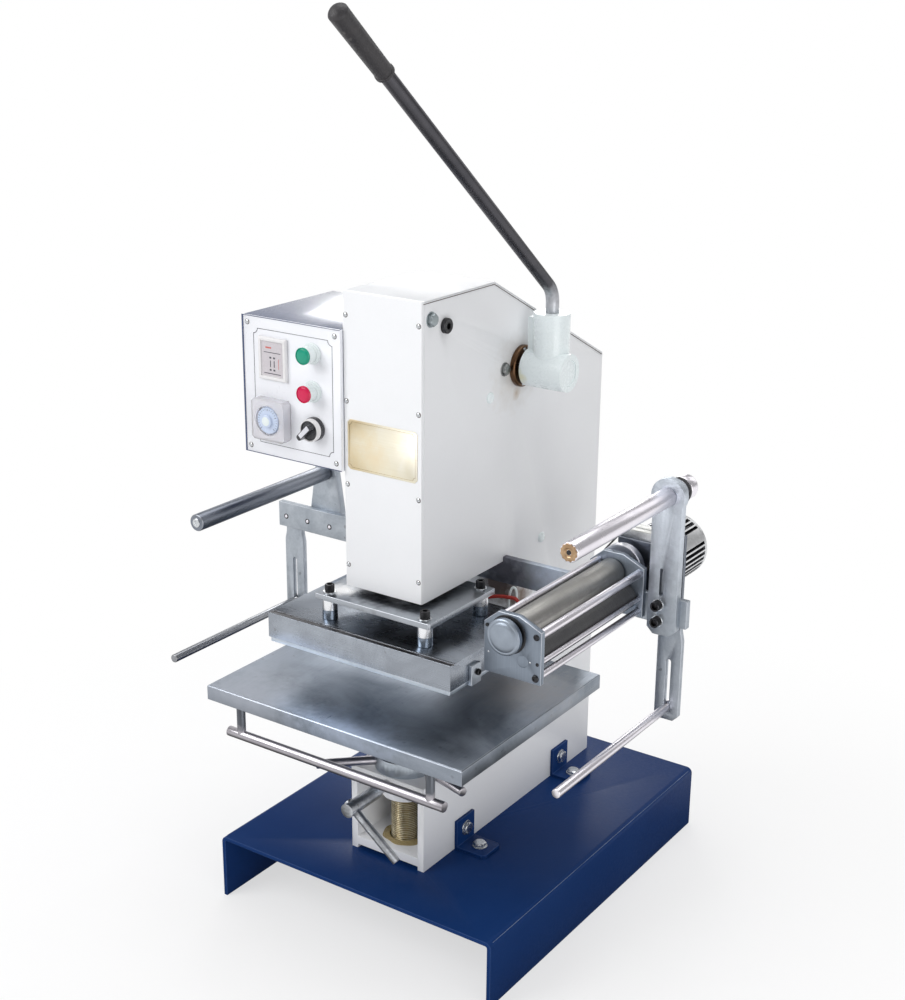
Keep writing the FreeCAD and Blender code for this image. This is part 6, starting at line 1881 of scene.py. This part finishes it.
# ---- stage --------------------------------------------------------------------------------------
@dataclass
class Studio:
    """Pale floor, soft lamps and the camera."""

    camera_place: Point = (1179.25, -1560.74, 1306.87)
    right: Point = (0.8234146, 0.5673806, 0.0082290)
    up: Point = (-0.1904152, 0.2626219, 0.9459238)
    back: Point = (0.5345376, -0.7804544, 0.3242846)
    lens: float = 57.123
    sensor: float = 36.0
    nearest: float = 0.05
    aim: Point = (0.0, 0.0, 0.55)
    floor: float = 14.0
    floor_greys: tuple[RGB, RGB] = ((0.86, 0.86, 0.87), (0.90, 0.90, 0.91))
    floor_fade: tuple[float, ...] = (0.40, 1.1, 0.62, 1.0)
    mirror_fade: tuple[float, ...] = (0.45, 0.9, 0.92, 0.0)
    shaded_light: float = 0.38
    lamps: tuple[tuple[str, Point, float, float], ...] = (
        ("key", (-1.9, -2.6, 2.6), 2.4, 81.0), ("top", (0.2, 0.4, 3.4), 2.6, 40.0),
        ("side", (3.0, -1.5, 0.9), 2.2, 31.0), ("window", (-2.9, 1.9, 1.9), 2.4, 13.0),
        ("backdrop", (0.8, 2.95, 2.1), 1.7, 8.0), ("shelf", (-2.02, 3.24, 1.66), 1.3, 23.0))

    def make(self) -> None:
        """Builds the floor, the world, the lamps and the camera."""
        bpy.context.scene.view_settings.view_transform = "Standard"
        self.make_floor()
        self.make_world()
        for name, place, size, power in self.lamps:
            self.make_lamp(name, place, size, power)
        camera = linked("camera", bpy.data.cameras.new("camera"))
        camera.data.lens = self.lens
        camera.data.sensor_width = self.sensor
        camera.data.clip_start = self.nearest
        axes = Matrix((self.right, self.up, self.back)).transposed().to_4x4()
        camera.matrix_world = Matrix.Translation(spot(*self.camera_place)) @ axes
        bpy.context.scene.camera = camera

    def make_floor(self) -> None:
        """Floor that fades into the white surroundings."""
        mesh = bmesh.new()
        bmesh.ops.create_grid(mesh, x_segments=1, y_segments=1, size=self.floor)
        floor = finished("floor", mesh)
        made = bpy.data.materials.new("pale_floor")
        made.use_nodes = True
        made.node_tree.nodes.clear()
        tree = Tree(made.node_tree)
        coords = tree.here()
        away = tree.vector("LENGTH", a=coords).outputs["Value"]
        fade = tree.ranged(away, *self.floor_fade)
        grain = tree.noise(coords, 12.0, 4.0)
        tone = tree.mix(grain.outputs["Fac"], *((*tint, 1.0) for tint in self.floor_greys))
        matt = tree.add("ShaderNodeBsdfDiffuse", {"Color": tone})
        glow = tree.add("ShaderNodeEmission", {"Color": (1.0, 1.0, 1.0, 1.0), "Strength": 1.0})
        seen = tree.add("ShaderNodeLightPath")
        glossy = seen.outputs["Is Glossy Ray"]
        dim = tree.math("MULTIPLY", glossy, tree.ranged(away, *self.mirror_fade))
        tree.tree.links.new(tree.math("SUBTRACT", 1.0, dim), glow.inputs["Strength"])
        share = tree.math("MAXIMUM", tree.math("MULTIPLY", fade, seen.outputs["Is Camera Ray"]), glossy)
        blend = tree.add("ShaderNodeMixShader", {0: share, 1: matt.outputs[0], 2: glow.outputs[0]})
        tree.add("ShaderNodeOutputMaterial", {0: blend.outputs[0]})
        floor.data.materials.append(made)
        floor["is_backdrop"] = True

    def make_world(self) -> None:
        """White surroundings for camera, gloss and clear plastic, and a softer light for the rest."""
        world = bpy.data.worlds.new("studio")
        bpy.context.scene.world = world
        world.use_nodes = True
        world.node_tree.nodes.clear()
        tree = Tree(world.node_tree)
        seen = tree.add("ShaderNodeLightPath")
        rays = tree.math("MAXIMUM", seen.outputs["Is Camera Ray"], seen.outputs["Is Transmission Ray"])
        strength = tree.math("ADD", tree.math("MULTIPLY", rays, 1.0 - self.shaded_light), self.shaded_light)
        light = tree.add("ShaderNodeBackground", {"Color": (1.0, 1.0, 1.0, 1.0), "Strength": strength})
        tree.add("ShaderNodeOutputWorld", {0: light.outputs[0]})

    def make_lamp(self, name: str, place: Point, size: float, power: float) -> None:
        """Square soft lamp that looks at the middle of the press.

        Args:
            name: Name of the lamp.
            place: Its place in metres.
            size: Side of the lamp in metres.
            power: Power in watts.
        """
        data = bpy.data.lights.new(name, "AREA")
        data.shape = "SQUARE"
        data.size = size
        data.energy = power
        lamp = linked(name, data)
        lamp.location = place
        aim = Vector(self.aim) - Vector(place)
        lamp.rotation_euler = aim.to_track_quat("-Z", "Y").to_euler()


def corners() -> list[list[float]]:
    """Lowest and highest corner of the whole object, as plain lists."""
    return [list(corner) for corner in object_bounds()]


def main() -> None:
    logging.basicConfig(level=logging.INFO, format="%(message)s")
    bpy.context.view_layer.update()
    shop = Shop()
    Studio().make()
    for part in (Base, Head, WorkTable, PressHead, FoilArms, FeedUnit, ControlBox, Lever):
        part(shop).make()


if __name__ == "__main__":
    main()
